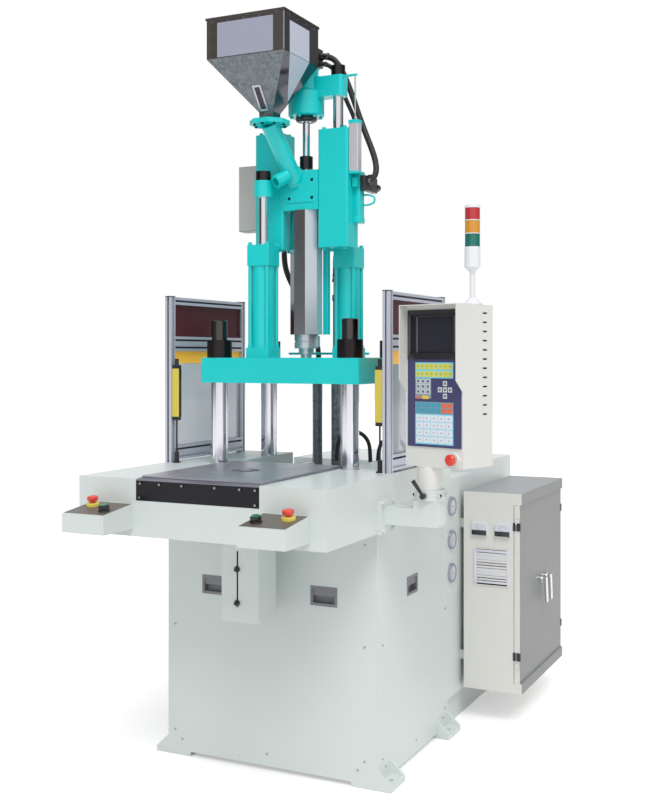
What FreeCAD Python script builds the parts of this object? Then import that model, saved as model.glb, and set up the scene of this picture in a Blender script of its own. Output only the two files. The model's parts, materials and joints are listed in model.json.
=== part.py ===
"""Vertical injection moulding machine with a sliding table, in millimetres.

The origin lies on the floor, in the middle of the four anchor holes of the machine's feet.
+X points to the operator's right, +Y to the rear and +Z up. The table stands at its front station
over the ejector, the mould is open and the nozzle is down on the upper platen.
"""
import FreeCAD, Part
import math
import os

V = FreeCAD.Vector
X_AXIS = V(1, 0, 0)
Y_AXIS = V(0, 1, 0)
Z_AXIS = V(0, 0, 1)

# ---------------------------------------------------------------- clearances
GAP = 0.3            # between faces of pieces that move apart
FIT = 0.05           # radial clearance of a running fit
HOLE_PLAY = 0.3      # radial play of a bolted or shouldered bar in its hole
DECK_PLAY = 3.0      # radial play where a bar passes through sheet metal

# ---------------------------------------------------------------- feet and base
ANCHOR_OUTSET = 28
ANCHOR_SPACING_Y = 624
ANCHOR_HOLE = 18
FOOT_WIDTH = 160
FOOT_DEPTH = 140
FOOT_OVERHANG = 56
LUG_THICKNESS = 22
LUG_RISE = 74
GUSSET_THICKNESS = 14
BASE_HALF_WIDTH = 457
BASE_HALF_DEPTH = 382
PANEL_SHEET = 3
SILL_BOTTOM = 18
SILL_TOP = 50
SILL_WIDTH = 80
POST_SIZE = 80
POST_WALL = 6
BASE_TOP = 1043
TOP_RAIL_HEIGHT = 84
PLATEN_SEAT = 24

# ---------------------------------------------------------------- panel handles and gauges
FLUSH_WIDTH = 112
FLUSH_HEIGHT = 74
FLUSH_DEPTH = 22
FLUSH_RIM = 9
FLUSH_Z = 694
FRONT_HANDLE_X = 240
SIDE_HANDLE_Y = -31
GAUGE_PANEL_LAP = (83, 158)
GAUGE_PANEL_Z = (563, 1040)
GAUGE_PANEL_SHEET = 2
GAUGE_DIAMETER = 80
GAUGE_PROUD = 14
GAUGE_STUB = 36
GAUGE_BEHIND_BASE = 30
GAUGE_HEIGHTS = (663, 806, 949)

# ---------------------------------------------------------------- tank and rear housing
REAR_Y = 1300
TANK_INSET = 19
TANK_TOP = 420
TANK_WALL = 5
TANK_LEDGE_Z = 130
TANK_LEDGE = 8
HOUSING_TOP = 1066
HOUSING_SHEET = 3
HUMP_TOP = 1100
HUMP_FRONT_Y = 700
MOTOR_DIAMETER = 220
MOTOR_LENGTH = 330
MOTOR_CENTRE = (60, 950)
MOTOR_AXIS_ABOVE_TANK = 130
PUMP_DIAMETER = 120
PUMP_LENGTH = 150
FAN_COVER_LENGTH = 40
BELL_LENGTH = 60
BELL_DIAMETER = 160
MOTOR_PLATE = (300, 260, 12)
MOTOR_LEG = (40, 200)
MOTOR_LEG_X = 100
LOUVRE_COUNT = 8
LOUVRE_LENGTH = 180
LOUVRE_HEIGHT = 8
LOUVRE_PITCH = 24

# ---------------------------------------------------------------- clamp
CLAMP_Y = -53.5
BAR_X = 292
BAR_SPREAD_Y = 206.5
BAR_DIAMETER = 70
BAR_THREAD = 64
BAR_TOP = 1740
BAR_NUT = 101
BAR_NUT_HEIGHT = 71
LOWER_PLATEN_THICKNESS = 59
UPPER_PLATEN_HALF_WIDTH = 350
UPPER_PLATEN_FRONT_Y = -309
UPPER_PLATEN_REAR_Y = 205
UPPER_PLATEN_BOTTOM = 1489
UPPER_PLATEN_THICKNESS = 100
PLATEN_CHAMFER = 4
SPRUE_BORE = 60
LOCATING_BORE = 100
LOCATING_DEPTH = 12
MOULD_HOLE = 17.5
MOULD_HOLE_DEPTH = 40
MOULD_SPACING_X = 350
MOULD_SPACING_Y = 350
PULL_PLATE_BOTTOM = 480
PULL_PLATE_THICKNESS = 80
PULL_PLATE_MARGIN = 56
CLAMP_TUBE = 240
CLAMP_BORE = 180
CLAMP_FLANGE = 300
CLAMP_FLANGE_THICKNESS = 40
CLAMP_GLAND_Z = (640, 685)
CLAMP_RAM = 110
CLAMP_PISTON_TOP = 990
CLAMP_PISTON_THICKNESS = 50

# ---------------------------------------------------------------- slide table
TABLE_HALF_WIDTH = 245
TABLE_LENGTH = 625
TABLE_CENTRE_Y = -550
TABLE_TOP = 1172
TABLE_THICKNESS = 40
TABLE_FRONT_GAP = 3.5
TABLE_CHAMFER = 3
TABLE_BORE = 60
TABLE_BORE_RING = 104
TABLE_RING_DEPTH = 5
TABLE_HOLE = 14
RAIL_X = 150
RAIL_WIDTH = 28
RAIL_HEIGHT = 22
RAIL_END_Y = 290
CARRIAGE_LENGTH = 100
CARRIAGE_WIDTH = 60
CARRIAGE_INSET = 40
BED_HALF_WIDTH = 235
BED_THICKNESS = 40
BED_RIB = 20
BED_RIB_X = 112

# ---------------------------------------------------------------- covers and apron
COVER_OVERHANG = 43
COVER_INNER_X = 250
COVER_REAR_Y = 300
COVER_TOP = 1163
COVER_SHEET = 3
COVER_SEAM_Z = 1086
APRON_BOTTOM = 959
APRON_SIDE_END_Y = -345
APRON_LIP = 28
FACE_PLATE_THICKNESS = 5
FACE_PLATE_TOP = 1157
NOSE_DEPTH = 19
NOSE_HEIGHT = 9

# ---------------------------------------------------------------- ejector
EJECTOR_BOX_X = (-67, 88)
EJECTOR_BOX_Y = (-611, -479)
EJECTOR_BOX_BOTTOM = 622
EJECTOR_SHEET = 2
EJECTOR_ROD = 30
EJECTOR_ROD_BOTTOM = 700
EJECTOR_ROD_TOP = 1092
EJECTOR_TUBE = 70
EJECTOR_BORE = 50
EJECTOR_CYLINDER_BOTTOM = 900
EJECTOR_CYLINDER_END = 15
EJECTOR_PISTON_Z = (920, 940)
SLOT_WIDTH = 7
SLOT_Z = (677, 882)
POINTER_Z = 816
STOP_Z = 692
POINTER_STEM = 5

# ---------------------------------------------------------------- control boxes and buttons
BOX_X = (262, 440)
BOX_DEPTH = 170
BOX_BOTTOM = 985
BOX_FRONT_TOP = 1052
BOX_REAR_TOP = 1073
BUTTON_WELL = 26
ESTOP_X = 392
ESTOP_INSET = 112
START_X = 302
START_INSET = 57
ESTOP_HEAD = 40
ESTOP_HEIGHT = 26
ESTOP_COLLAR = 48
ESTOP_COLLAR_HEIGHT = 12
ESTOP_TRAVEL = 5
START_HEAD = 38
START_CAP = 26
START_COLLAR = 42
START_COLLAR_HEIGHT = 6
START_TRAVEL = 4
STEM = 16

# ---------------------------------------------------------------- guards and light curtains
GUARD_INSET = 20
GUARD_FRONT_Y = -335
GUARD_REAR_Y = 228
PROFILE = 30
PROFILE_SLOT = 8
PROFILE_SLOT_DEPTH = 7
GUARD_TOP = 1840
MIDDLE_RAIL_Z = 1616
BOTTOM_RAIL_Z = 1170
PANE = 4
PANE_PLAY = 2
BAND_Z = 1566
CAP_HEIGHT = 4
CURTAIN_WIDTH = 33
CURTAIN_DEPTH = 22
CURTAIN_Z = (1350, 1545)
CURTAIN_END = 14
GLAND_DIAMETER = 18
GLAND_HEIGHT = 46
CABLE = 7

# ---------------------------------------------------------------- panel arm and control panel
PIVOT_X = 668
PIVOT_Y = -392
FLANGE_Y = (-470, -350)
FLANGE_Z = (955, 1082)
FLANGE_THICKNESS = 12
ARM_Y = (-440, -350)
ARM_Z = (990, 1054)
UPRIGHT_X = (623, 713)
UPRIGHT_TOP = 1083
COLLAR_DIAMETER = 115
COLLAR_TOP = 1121
PILLAR_DIAMETER = 90
SOCKET_DIAMETER = 60
SOCKET_DEPTH = 70
PANEL_TURN = -17
PANEL_CENTRE = (726, -352)
PANEL_WIDTH = 253
PANEL_DEPTH = 178
PANEL_BOTTOM = 1204
PANEL_TOP = 1778
PANEL_WALL = 3
HOOD_DEPTH = 40
HOOD_LOW_Z = 1470
HOOD_KINK_Z = 1512
FACE_LEFT_MARGIN = 12
FACE_RIGHT_MARGIN = 6
FACE_THICKNESS = 4
KEYPAD_Z = (1275, 1585)
SCREEN_TOP = 1760
SCREEN_SIZE = (150, 118)
SCREEN_RECESS = 2
VENT_COUNT = 12
VENT_Z = (1388, 1745)
VENT_LENGTH = 26
VENT_HEIGHT = 6
VENT_MARGIN = 34
PANEL_ESTOP_U = 91
PANEL_ESTOP_Z = 1236

# ---------------------------------------------------------------- tower light
TOWER_U = 95
TOWER_V = 10
TOWER_FOOT = 67
TOWER_POLE = 20
TOWER_DIAMETER = 56
TOWER_BASE_Z = (1906, 1982)
TOWER_LENS_TOPS = (2030, 2077, 2122)
TOWER_CAP_TOP = 2132

# ---------------------------------------------------------------- electric cabinet
CABINET_STANDOFF = 23
CABINET_WIDTH = 226
CABINET_Y = (521, 1221)
CABINET_Z = (143, 1003)
CABINET_SHEET = 2
RIM_REACH = 35
ROOF_RIM = 48
BOTTOM_RIM = 44
DOOR_GAP = 2
DOOR_THICKNESS = 25
DOOR_SHEET = 2
DOOR_INSET = 0.6
PIVOT_PIN = 6
PIVOT_INSET = 4
PIVOT_BLOCK = 24
DOOR_HANDLE_Z = 585
DOOR_HANDLE_INSET = 38
HANDLE_SHAFT = 12
LEVER_LENGTH = 104
METER_WIDTH = 66
METER_HEIGHT = 54
METER_Z = 844
METER_INSETS = (74, 178)
GRILLE_INSETS = (52, 205)
GRILLE_Z = (598, 759)
GRILLE_SLATS = 12
TRAY_MARGIN = 60
TRAY_Z = (240, 900)
TRAY_THICKNESS = 6
DEVICE_SIZE = (70, 90, 100)
DEVICE_ROWS = (300, 470, 640, 780)
DEVICE_INSET = 110
DEVICE_PITCH = 140

# ---------------------------------------------------------------- injection unit
CARRIAGE_CYLINDERS = ((-135, -177), (135, 67))
CYLINDER_FOOT = 103
CYLINDER_FOOT_HEIGHT = 40
CYLINDER_HEAD = 98
CYLINDER_HEAD_Z = (1960, 2045)
CYLINDER_TUBE = 92
CYLINDER_BORE = 63
CYLINDER_TIE = 16
CYLINDER_TIE_OFFSET = 39
CYLINDER_PIPE_REACH = 190
CYLINDER_PIPE_Y = 150
CYLINDER_PIPE_Z = 1606
CARRIAGE_ROD = 38
CARRIAGE_PISTON_Z = (1650, 1685)
EAR_Z = (2241, 2306)
EAR_DIAMETER = 75
EAR_NECK = 34
EAR_NUT = 61
EAR_NUT_TOP = 2345
BLOCK_X = (80, 210)
BLOCK_Y = (-111, -3)
BLOCK_Z = (2034, 2510)
BLOCK_CAP = 26
BLOCK_CHAMFER = 5
BLOCK_BOLT = 16
INJECTION_X = 145
INJECTION_Y = -57
INJECTION_BORE = 70
INJECTION_ROD = 42
INJECTION_PISTON_Z = (2100, 2135)
INJECTION_NUT = 57
INJECTION_NUT_HEIGHT = 42
FEED_Z = (2190, 2350)
FEED_SCREW = (52, 48, 40)
FEED_SCREW_HOLE = (14, 12)
FEED_GROOVE = (60, 26, 5, 4)
HANGER_BEHIND = (42, 62)
BARREL_DIAMETER = 84
BARREL_BORE = 36
BARREL_Z = (1690, 2320)
COVER_ACROSS = 122
COVER_Z = (1684, 2190)
BARREL_COVER_SHEET = 2
COVER_BRACKET = (56, 79)
HEATER_DIAMETER = 97
HEATER_Z = (1627, 1684)
NOZZLE_DIAMETER = 44
NOZZLE_COLLAR_DIAMETER = 62
NOZZLE_COLLAR_Z = 1600
NOZZLE_TIP_Z = 1562
SCREW_TIP_Z = 1712
SCREW_PITCH = 34
FLIGHT_DEPTH = 5
SCREW_SHAFT = 30
SCREW_COUPLING = 54
COUPLING_Z = (2362, 2414)
CROSSHEAD_Z = (2647, 2730)
CROSSHEAD_DEPTH = 64
DRUM_DIAMETER = 148
DRUM_Z = (2577, 2674)
DRUM_MIDDLE = 120
DRUM_NECK = 100
DRUM_TOP = 2776
HYDRAULIC_MOTOR = 95
HYDRAULIC_MOTOR_TOP = 2905
PORT_X = 46
PORT_Z = (2785, 2860)
TRANSDUCER = 40
TRANSDUCER_Z = (2325, 2537)
TRANSDUCER_ROD = 6
TRANSDUCER_PIN_Z = 2722
JUNCTION_DEPTH = 92
JUNCTION_Y = (-88, -22)
JUNCTION_Z = (2117, 2389)

# ---------------------------------------------------------------- hopper and chute
RIM_X_RANGE = (-251, 92)
RIM_Y_RANGE = (-422, -133)
HOPPER_TOP = 2915
HOPPER_SHOULDER = 2755
OUTLET_X = -70
OUTLET_Y = -240
OUTLET_SIZE = 62
OUTLET_Z = 2564
CHUTE_FLANGE_Z = (2516, 2534)
CHUTE_FLANGE_ACROSS = 150
CHUTE_DIAMETER = 72
CHUTE_BORE = 52
CHUTE_END = (-36, -111, 2332)
HOPPER_SHEET = 2
HOPPER_LIP = 4
HOPPER_LIP_HEIGHT = 9
SIGHT_WIDTH = 22
SIGHT_OFFSET = 4
SIGHT_BELOW_MIDDLE = 48
SIGHT_LENGTH = 92

# ---------------------------------------------------------------- risers and hoses
RISER_DIAMETER = 45
RISER_X = (-187, -92)
RISER_BEHIND_BASE = 38
RISER_BOTTOM = 880
RISER_TOP = 1540
RISER_NECK = 30
RISER_NECK_TOP = 1846
RISER_FITTING_TOP = 1930
RISER_PLATE_THICKNESS = 20
HOSE = 24
SMALL_HOSE = 18
PIPE = 8
VALVE_X = (210, 240)
VALVE_Y = (-50, -5)
VALVE_Z = (2268, 2340)


# ---------------------------------------------------------------- helpers
def block(x_range, y_range, z_range):
    """A box between two X, two Y and two Z values."""
    size = [max(pair) - min(pair) for pair in (x_range, y_range, z_range)]
    corner = V(min(x_range), min(y_range), min(z_range))
    return Part.makeBox(size[0], size[1], size[2], corner)


def bar(x, y, z_range, diameter):
    """A round bar that stands upright."""
    return Part.makeCylinder(diameter / 2, z_range[1] - z_range[0], V(x, y, z_range[0]))


def bar_along(start, direction, length, diameter):
    """A round bar from a point along any direction."""
    return Part.makeCylinder(diameter / 2, length, V(*start), V(*direction))


def turned(x, y, profile):
    """A turned piece: (radius, height) points closed and revolved about an upright axis."""
    points = [V(radius, 0, z) for radius, z in profile]
    points.append(points[0])
    piece = Part.Face(Part.makePolygon(points)).revolve(V(0, 0, 0), Z_AXIS, 360)
    return moved(piece, x, y, 0)


def moved(shape, x, y, z):
    """A copy of a shape, shifted."""
    copy = shape.copy()
    copy.translate(V(x, y, z))
    return copy


def turned_about(shape, point, axis, degrees):
    """A copy of a shape, turned about an axis through a point."""
    copy = shape.copy()
    copy.rotate(V(*point), axis, degrees)
    return copy


def drawn(points, direction):
    """A closed outline drawn out along a direction."""
    corners = [V(*point) for point in points]
    corners.append(corners[0])
    return Part.Face(Part.makePolygon(corners)).extrude(V(*direction))


def plate_yz(points, x_range):
    """A plate with a side profile of (y, z) points."""
    return drawn([(x_range[0], y, z) for y, z in points], (x_range[1] - x_range[0], 0, 0))


def plate_xz(points, y_range):
    """A plate with a front profile of (x, z) points."""
    return drawn([(x, y_range[0], z) for x, z in points], (0, y_range[1] - y_range[0], 0))


def joined(*shapes):
    """One solid of several that touch or cross."""
    whole = shapes[0]
    for shape in shapes[1:]:
        whole = whole.fuse(shape)
    return whole.removeSplitter()


def cut(shape, *tools):
    """A shape with every tool taken out of it."""
    for tool in tools:
        shape = shape.cut(tool)
    return shape


def mirrored(shape):
    """The same piece on the other side of the machine."""
    return shape.mirror(V(0, 0, 0), X_AXIS)


def grown(pair, amount):
    """A range made longer at both ends."""
    return (min(pair) - amount, max(pair) + amount)


def hexagon(x, y, z_range, across):
    """An upright hexagonal prism, measured across its flats."""
    radius = across / math.sqrt(3)
    corners = [(x + radius * math.cos(math.radians(60 * turn)),
                y + radius * math.sin(math.radians(60 * turn)), z_range[0]) for turn in range(6)]
    return drawn(corners, (0, 0, z_range[1] - z_range[0]))


def octagon_face(x, y, z, across):
    """A horizontal regular octagon, measured across its flats."""
    radius = across / 2 / math.cos(math.radians(22.5))
    corners = [V(x + radius * math.cos(math.radians(22.5 + 45 * turn)),
                 y + radius * math.sin(math.radians(22.5 + 45 * turn)), z) for turn in range(8)]
    corners.append(corners[0])
    return Part.Face(Part.makePolygon(corners))


def upright_edges(shape):
    """The straight edges that run along Z."""
    found = []
    for edge in shape.Edges:
        ends = [vertex.Point for vertex in edge.Vertexes]
        if len(ends) == 2 and abs(ends[0].x - ends[1].x) + abs(ends[0].y - ends[1].y) < 1e-6:
            found.append(edge)
    return found


def save(name, *solids):
    """Write one node; several solids that share a node stay separate."""
    shape = solids[0] if len(solids) == 1 else Part.makeCompound(list(solids))
    shape.exportStep(os.path.join("parts", name + ".step"))


BAR_PLACES = [(side * BAR_X, CLAMP_Y + end * BAR_SPREAD_Y) for side in (-1, 1) for end in (-1, 1)]
PLATEN_TOP = BASE_TOP + LOWER_PLATEN_THICKNESS
UPPER_PLATEN_TOP = UPPER_PLATEN_BOTTOM + UPPER_PLATEN_THICKNESS
PULL_PLATE_TOP = PULL_PLATE_BOTTOM + PULL_PLATE_THICKNESS
PANEL_INNER_X = BASE_HALF_WIDTH - PANEL_SHEET
PANEL_INNER_Y = BASE_HALF_DEPTH - PANEL_SHEET
FOOT_REACH = BASE_HALF_WIDTH + FOOT_OVERHANG
ANCHOR_SPACING_X = 2 * (BASE_HALF_WIDTH + ANCHOR_OUTSET)
GAUGE_PANEL_Y = (BASE_HALF_DEPTH - GAUGE_PANEL_LAP[0], BASE_HALF_DEPTH + GAUGE_PANEL_LAP[1])
GAUGE_Y = BASE_HALF_DEPTH + GAUGE_BEHIND_BASE
TANK_HALF_WIDTH = BASE_HALF_WIDTH - TANK_INSET
LOWER_PLATEN_HALF_WIDTH = PANEL_INNER_X - PLATEN_SEAT
COVER_HALF_WIDTH = BASE_HALF_WIDTH + COVER_OVERHANG
BED_FRONT_Y = TABLE_CENTRE_Y - TABLE_LENGTH / 2 - NOSE_DEPTH - TABLE_FRONT_GAP
COVER_FRONT_Y = BED_FRONT_Y - FACE_PLATE_THICKNESS
BOX_FRONT_Y = COVER_FRONT_Y - BOX_DEPTH
ESTOP_Y = BOX_FRONT_Y + ESTOP_INSET
START_Y = BOX_FRONT_Y + START_INSET
GUARD_X = COVER_HALF_WIDTH - GUARD_INSET
CABINET_X = (BASE_HALF_WIDTH + CABINET_STANDOFF, BASE_HALF_WIDTH + CABINET_STANDOFF + CABINET_WIDTH)
RIM_X = CABINET_X[1] + RIM_REACH
DOOR_X = (CABINET_X[1] + DOOR_GAP, CABINET_X[1] + DOOR_GAP + DOOR_THICKNESS)
METER_X = [CABINET_X[0] + inset for inset in METER_INSETS]
GRILLE_X = [CABINET_X[0] + inset for inset in GRILLE_INSETS]
RISER_Y = BASE_HALF_DEPTH + RISER_BEHIND_BASE


# ---------------------------------------------------------------- base
def foot(side, end):
    """A foot block under the sill with a gusseted anchor lug outside the body."""
    outer_y = end * BASE_HALF_DEPTH
    inner_y = end * (BASE_HALF_DEPTH - FOOT_DEPTH)
    pad = block((side * (FOOT_REACH - FOOT_WIDTH), side * BASE_HALF_WIDTH), (inner_y, outer_y),
                (0, SILL_BOTTOM))
    lug = block((side * BASE_HALF_WIDTH, side * FOOT_REACH), (inner_y, outer_y), (0, LUG_THICKNESS))
    hole = bar(side * ANCHOR_SPACING_X / 2, end * ANCHOR_SPACING_Y / 2, (-1, LUG_THICKNESS + 1), ANCHOR_HOLE)
    profile = [(side * BASE_HALF_WIDTH, 0), (side * FOOT_REACH, 0), (side * FOOT_REACH, LUG_THICKNESS),
               (side * BASE_HALF_WIDTH, LUG_RISE)]
    gussets = [plate_xz(profile, (edge, edge + toward * GUSSET_THICKNESS))
               for edge, toward in ((outer_y, -end), (inner_y, end))]
    web = block((side * (BASE_HALF_WIDTH - PANEL_SHEET), side * BASE_HALF_WIDTH), (inner_y, outer_y),
                (0, SILL_TOP))
    return cut(joined(pad, lug, *gussets, web), hole)


def base_frame():
    """Welded base: feet, sill, four hollow posts and the rails that carry the lower platen."""
    half = (BASE_HALF_WIDTH, BASE_HALF_DEPTH)
    sill = cut(block((-half[0], half[0]), (-half[1], half[1]), (SILL_BOTTOM, SILL_TOP)),
               block((SILL_WIDTH - half[0], half[0] - SILL_WIDTH),
                     (SILL_WIDTH - half[1], half[1] - SILL_WIDTH),
                     (0, BASE_TOP)))
    rails = cut(block((-PANEL_INNER_X, PANEL_INNER_X), (-PANEL_INNER_Y, PANEL_INNER_Y),
                      (BASE_TOP - TOP_RAIL_HEIGHT, BASE_TOP)),
                block((POST_SIZE - PANEL_INNER_X, PANEL_INNER_X - POST_SIZE),
                      (POST_SIZE - PANEL_INNER_Y, PANEL_INNER_Y - POST_SIZE), (0, BASE_TOP + 1)))
    posts = []
    for side in (-1, 1):
        for end in (-1, 1):
            x_range = (side * PANEL_INNER_X, side * (PANEL_INNER_X - POST_SIZE))
            y_range = (end * PANEL_INNER_Y, end * (PANEL_INNER_Y - POST_SIZE))
            z_range = (SILL_TOP, BASE_TOP - TOP_RAIL_HEIGHT)
            hollow = block(grown(x_range, -POST_WALL), grown(y_range, -POST_WALL), z_range)
            posts.append(block(x_range, y_range, z_range).cut(hollow))
    feet = [foot(side, end) for side in (-1, 1) for end in (-1, 1)]
    save("base_frame", joined(sill, rails, *posts, *feet))


def flush_cup():
    """A recessed pull: rim, pocket and a finger bar, facing -Y around the origin."""
    rim = block((-FLUSH_WIDTH / 2, FLUSH_WIDTH / 2), (-1.5, 0), (-FLUSH_HEIGHT / 2, FLUSH_HEIGHT / 2))
    pocket_x = FLUSH_WIDTH / 2 - FLUSH_RIM
    pocket_z = FLUSH_HEIGHT / 2 - FLUSH_RIM
    pan = block((-pocket_x, pocket_x), (-1.5, FLUSH_DEPTH), (-pocket_z, pocket_z))
    inside = block((1.5 - pocket_x, pocket_x - 1.5), (-2, FLUSH_DEPTH - 1.5),
                   (1.5 - pocket_z, pocket_z - 1.5))
    pull = block((1.5 - pocket_x, pocket_x - 1.5), (3, 8), (0, pocket_z - 1.5))
    return joined(cut(joined(rim, pan), inside), pull)


def base_panels():
    """Removable sheet covers of the base, their recessed pulls, and the gauge panel."""
    z_range = (SILL_TOP, APRON_BOTTOM)
    side_z = (SILL_TOP, GAUGE_PANEL_Z[1])
    front = block((-BASE_HALF_WIDTH, BASE_HALF_WIDTH), (-BASE_HALF_DEPTH, -PANEL_INNER_Y), z_range)
    side_panel = block((PANEL_INNER_X, BASE_HALF_WIDTH), (-PANEL_INNER_Y, BASE_HALF_DEPTH), side_z)
    cup_body = (FLUSH_WIDTH / 2 - FLUSH_RIM, FLUSH_HEIGHT / 2 - FLUSH_RIM)
    hole = block((-cup_body[0], cup_body[0]), (-PANEL_SHEET, 2 * PANEL_SHEET), (-cup_body[1], cup_body[1]))
    pieces = []
    for x in (-FRONT_HANDLE_X, FRONT_HANDLE_X):
        front = front.cut(moved(hole, x, -BASE_HALF_DEPTH, FLUSH_Z))
        pieces.append(moved(flush_cup(), x, -BASE_HALF_DEPTH, FLUSH_Z))
    side_hole = moved(turned_about(hole, (0, 0, 0), Z_AXIS, 90), BASE_HALF_WIDTH, SIDE_HANDLE_Y, FLUSH_Z)
    side_cup = moved(turned_about(flush_cup(), (0, 0, 0), Z_AXIS, 90), BASE_HALF_WIDTH, SIDE_HANDLE_Y,
                     FLUSH_Z)
    side_panel = side_panel.cut(side_hole)
    gauge_x = (BASE_HALF_WIDTH, BASE_HALF_WIDTH + GAUGE_PANEL_SHEET)
    gauge_panel = block(gauge_x, GAUGE_PANEL_Y, GAUGE_PANEL_Z)
    for z in GAUGE_HEIGHTS:
        gauge_panel = gauge_panel.cut(bar_along((BASE_HALF_WIDTH - 1, GAUGE_Y, z), (1, 0, 0), 10,
                                                GAUGE_STUB + 4))
    pieces += [front, side_panel, mirrored(side_panel), side_cup, mirrored(side_cup), gauge_panel]
    save("base_panels", *pieces)


def dial_gauge(z):
    """A round pressure gauge: bezel, recessed dial and the case behind the panel."""
    radius = GAUGE_DIAMETER / 2
    profile = [(0, -4), (GAUGE_STUB / 2, -4), (GAUGE_STUB / 2, 0), (radius, 0), (radius, GAUGE_PROUD - 3),
               (radius - 3, GAUGE_PROUD), (radius - 7, GAUGE_PROUD), (radius - 7, GAUGE_PROUD - 4),
               (0, GAUGE_PROUD - 4)]
    dial = turned_about(turned(0, 0, profile), (0, 0, 0), Y_AXIS, 90)
    return moved(dial, BASE_HALF_WIDTH + GAUGE_PANEL_SHEET, GAUGE_Y, z)


def meter(x):
    """A square panel meter with a stepped lower cover, on the front of the cabinet."""
    front_y = CABINET_Y[0]
    x_range = grown((x, x), METER_WIDTH / 2)
    frame = block(x_range, (front_y - 12, front_y), grown((METER_Z, METER_Z), METER_HEIGHT / 2))
    window = block(grown(x_range, -3), (front_y - 13, front_y - 10),
                   (METER_Z - 4, METER_Z + METER_HEIGHT / 2 - 3))
    return frame.cut(window)


def gauges():
    """Three pressure gauges on the side and two electric meters on the cabinet."""
    save("gauges", *[dial_gauge(z) for z in GAUGE_HEIGHTS], *[meter(x) for x in METER_X])


def oil_tank():
    """Closed oil tank that stands on the floor behind the base, with the ledge of its housing."""
    front = BASE_HALF_DEPTH
    outer = block((-TANK_HALF_WIDTH, TANK_HALF_WIDTH), (front, REAR_Y - HOUSING_SHEET), (0, TANK_TOP))
    inner = block(grown((-TANK_HALF_WIDTH, TANK_HALF_WIDTH), -TANK_WALL),
                  (front + TANK_WALL, REAR_Y - HOUSING_SHEET - TANK_WALL), (TANK_WALL, TANK_TOP - TANK_WALL))
    ledge = block((-BASE_HALF_WIDTH, BASE_HALF_WIDTH), (front, REAR_Y),
                  (TANK_LEDGE_Z - TANK_LEDGE, TANK_LEDGE_Z))
    filler = bar(-300, 1180, (TANK_TOP, TANK_TOP + 40), 90)
    save("oil_tank", cut(joined(outer, ledge, filler), inner))


def rear_housing():
    """Sheet cover of the hydraulic unit with a raised rear part, louvres and riser holes."""
    front = BASE_HALF_DEPTH
    x_range = (-BASE_HALF_WIDTH, BASE_HALF_WIDTH)
    outer = joined(block(x_range, (front, REAR_Y), (TANK_LEDGE_Z, HOUSING_TOP)),
                   block(x_range, (HUMP_FRONT_Y, REAR_Y), (HOUSING_TOP, HUMP_TOP)))
    thick = HOUSING_SHEET
    inner = joined(block(grown(x_range, -thick), (front - 1, REAR_Y - thick), (0, HOUSING_TOP - thick)),
                   block(grown(x_range, -thick), (HUMP_FRONT_Y + thick, REAR_Y - thick),
                         (HOUSING_TOP - 2 * thick, HUMP_TOP - thick)))
    shell = outer.cut(inner)
    for x in (-250, 250):
        for index in range(LOUVRE_COUNT):
            z = 620 + index * LOUVRE_PITCH
            slot = block(grown((x, x), LOUVRE_LENGTH / 2), (REAR_Y - 2 * thick, REAR_Y + 1),
                         (z, z + LOUVRE_HEIGHT))
            shell = shell.cut(slot)
    for x in RISER_X:
        shell = shell.cut(bar(x, RISER_Y, (HOUSING_TOP - 20, HOUSING_TOP + 1),
                              RISER_DIAMETER + 2 * DECK_PLAY))
    for z in GAUGE_HEIGHTS:
        shell = shell.cut(bar_along((BASE_HALF_WIDTH - 10, GAUGE_Y, z), (1, 0, 0), 20, GAUGE_STUB + 4))
    save("rear_housing", shell)


def pump_motor():
    """Electric motor and oil pump on one foot plate on the tank."""
    x, y = MOTOR_CENTRE
    axis_z = TANK_TOP + MOTOR_AXIS_ABOVE_TANK
    body = bar_along((x - MOTOR_LENGTH / 2, y, axis_z), (1, 0, 0), MOTOR_LENGTH, MOTOR_DIAMETER)
    fan_cover = bar_along((x + MOTOR_LENGTH / 2, y, axis_z), (1, 0, 0), FAN_COVER_LENGTH,
                          MOTOR_DIAMETER * 0.9)
    bell_x = x - MOTOR_LENGTH / 2 - BELL_LENGTH
    bell = bar_along((bell_x, y, axis_z), (1, 0, 0), BELL_LENGTH, BELL_DIAMETER)
    pump = bar_along((bell_x - PUMP_LENGTH, y, axis_z), (1, 0, 0), PUMP_LENGTH, PUMP_DIAMETER)
    plate = block(grown((x, x), MOTOR_PLATE[0] / 2), grown((y, y), MOTOR_PLATE[1] / 2),
                  (TANK_TOP, TANK_TOP + MOTOR_PLATE[2]))
    legs = [block(grown((x + dx, x + dx), MOTOR_LEG[0] / 2), grown((y, y), MOTOR_LEG[1] / 2),
                  (TANK_TOP + MOTOR_PLATE[2], axis_z)) for dx in (-MOTOR_LEG_X, MOTOR_LEG_X)]
    save("pump_motor", joined(body, fan_cover, bell, pump, plate, *legs))


# ---------------------------------------------------------------- clamp
def lower_platen():
    """Thick fixed platen on the base, with the bores that guide the tie bars."""
    plate = block((-LOWER_PLATEN_HALF_WIDTH, LOWER_PLATEN_HALF_WIDTH),
                  (-PANEL_INNER_Y + PLATEN_SEAT / 2, PANEL_INNER_Y - PLATEN_SEAT / 2), (BASE_TOP, PLATEN_TOP))
    bores = [bar(x, y, (BASE_TOP - 1, PLATEN_TOP + 1), BAR_DIAMETER + 2 * FIT) for x, y in BAR_PLACES]
    save("lower_platen", cut(plate, *bores))


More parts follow.
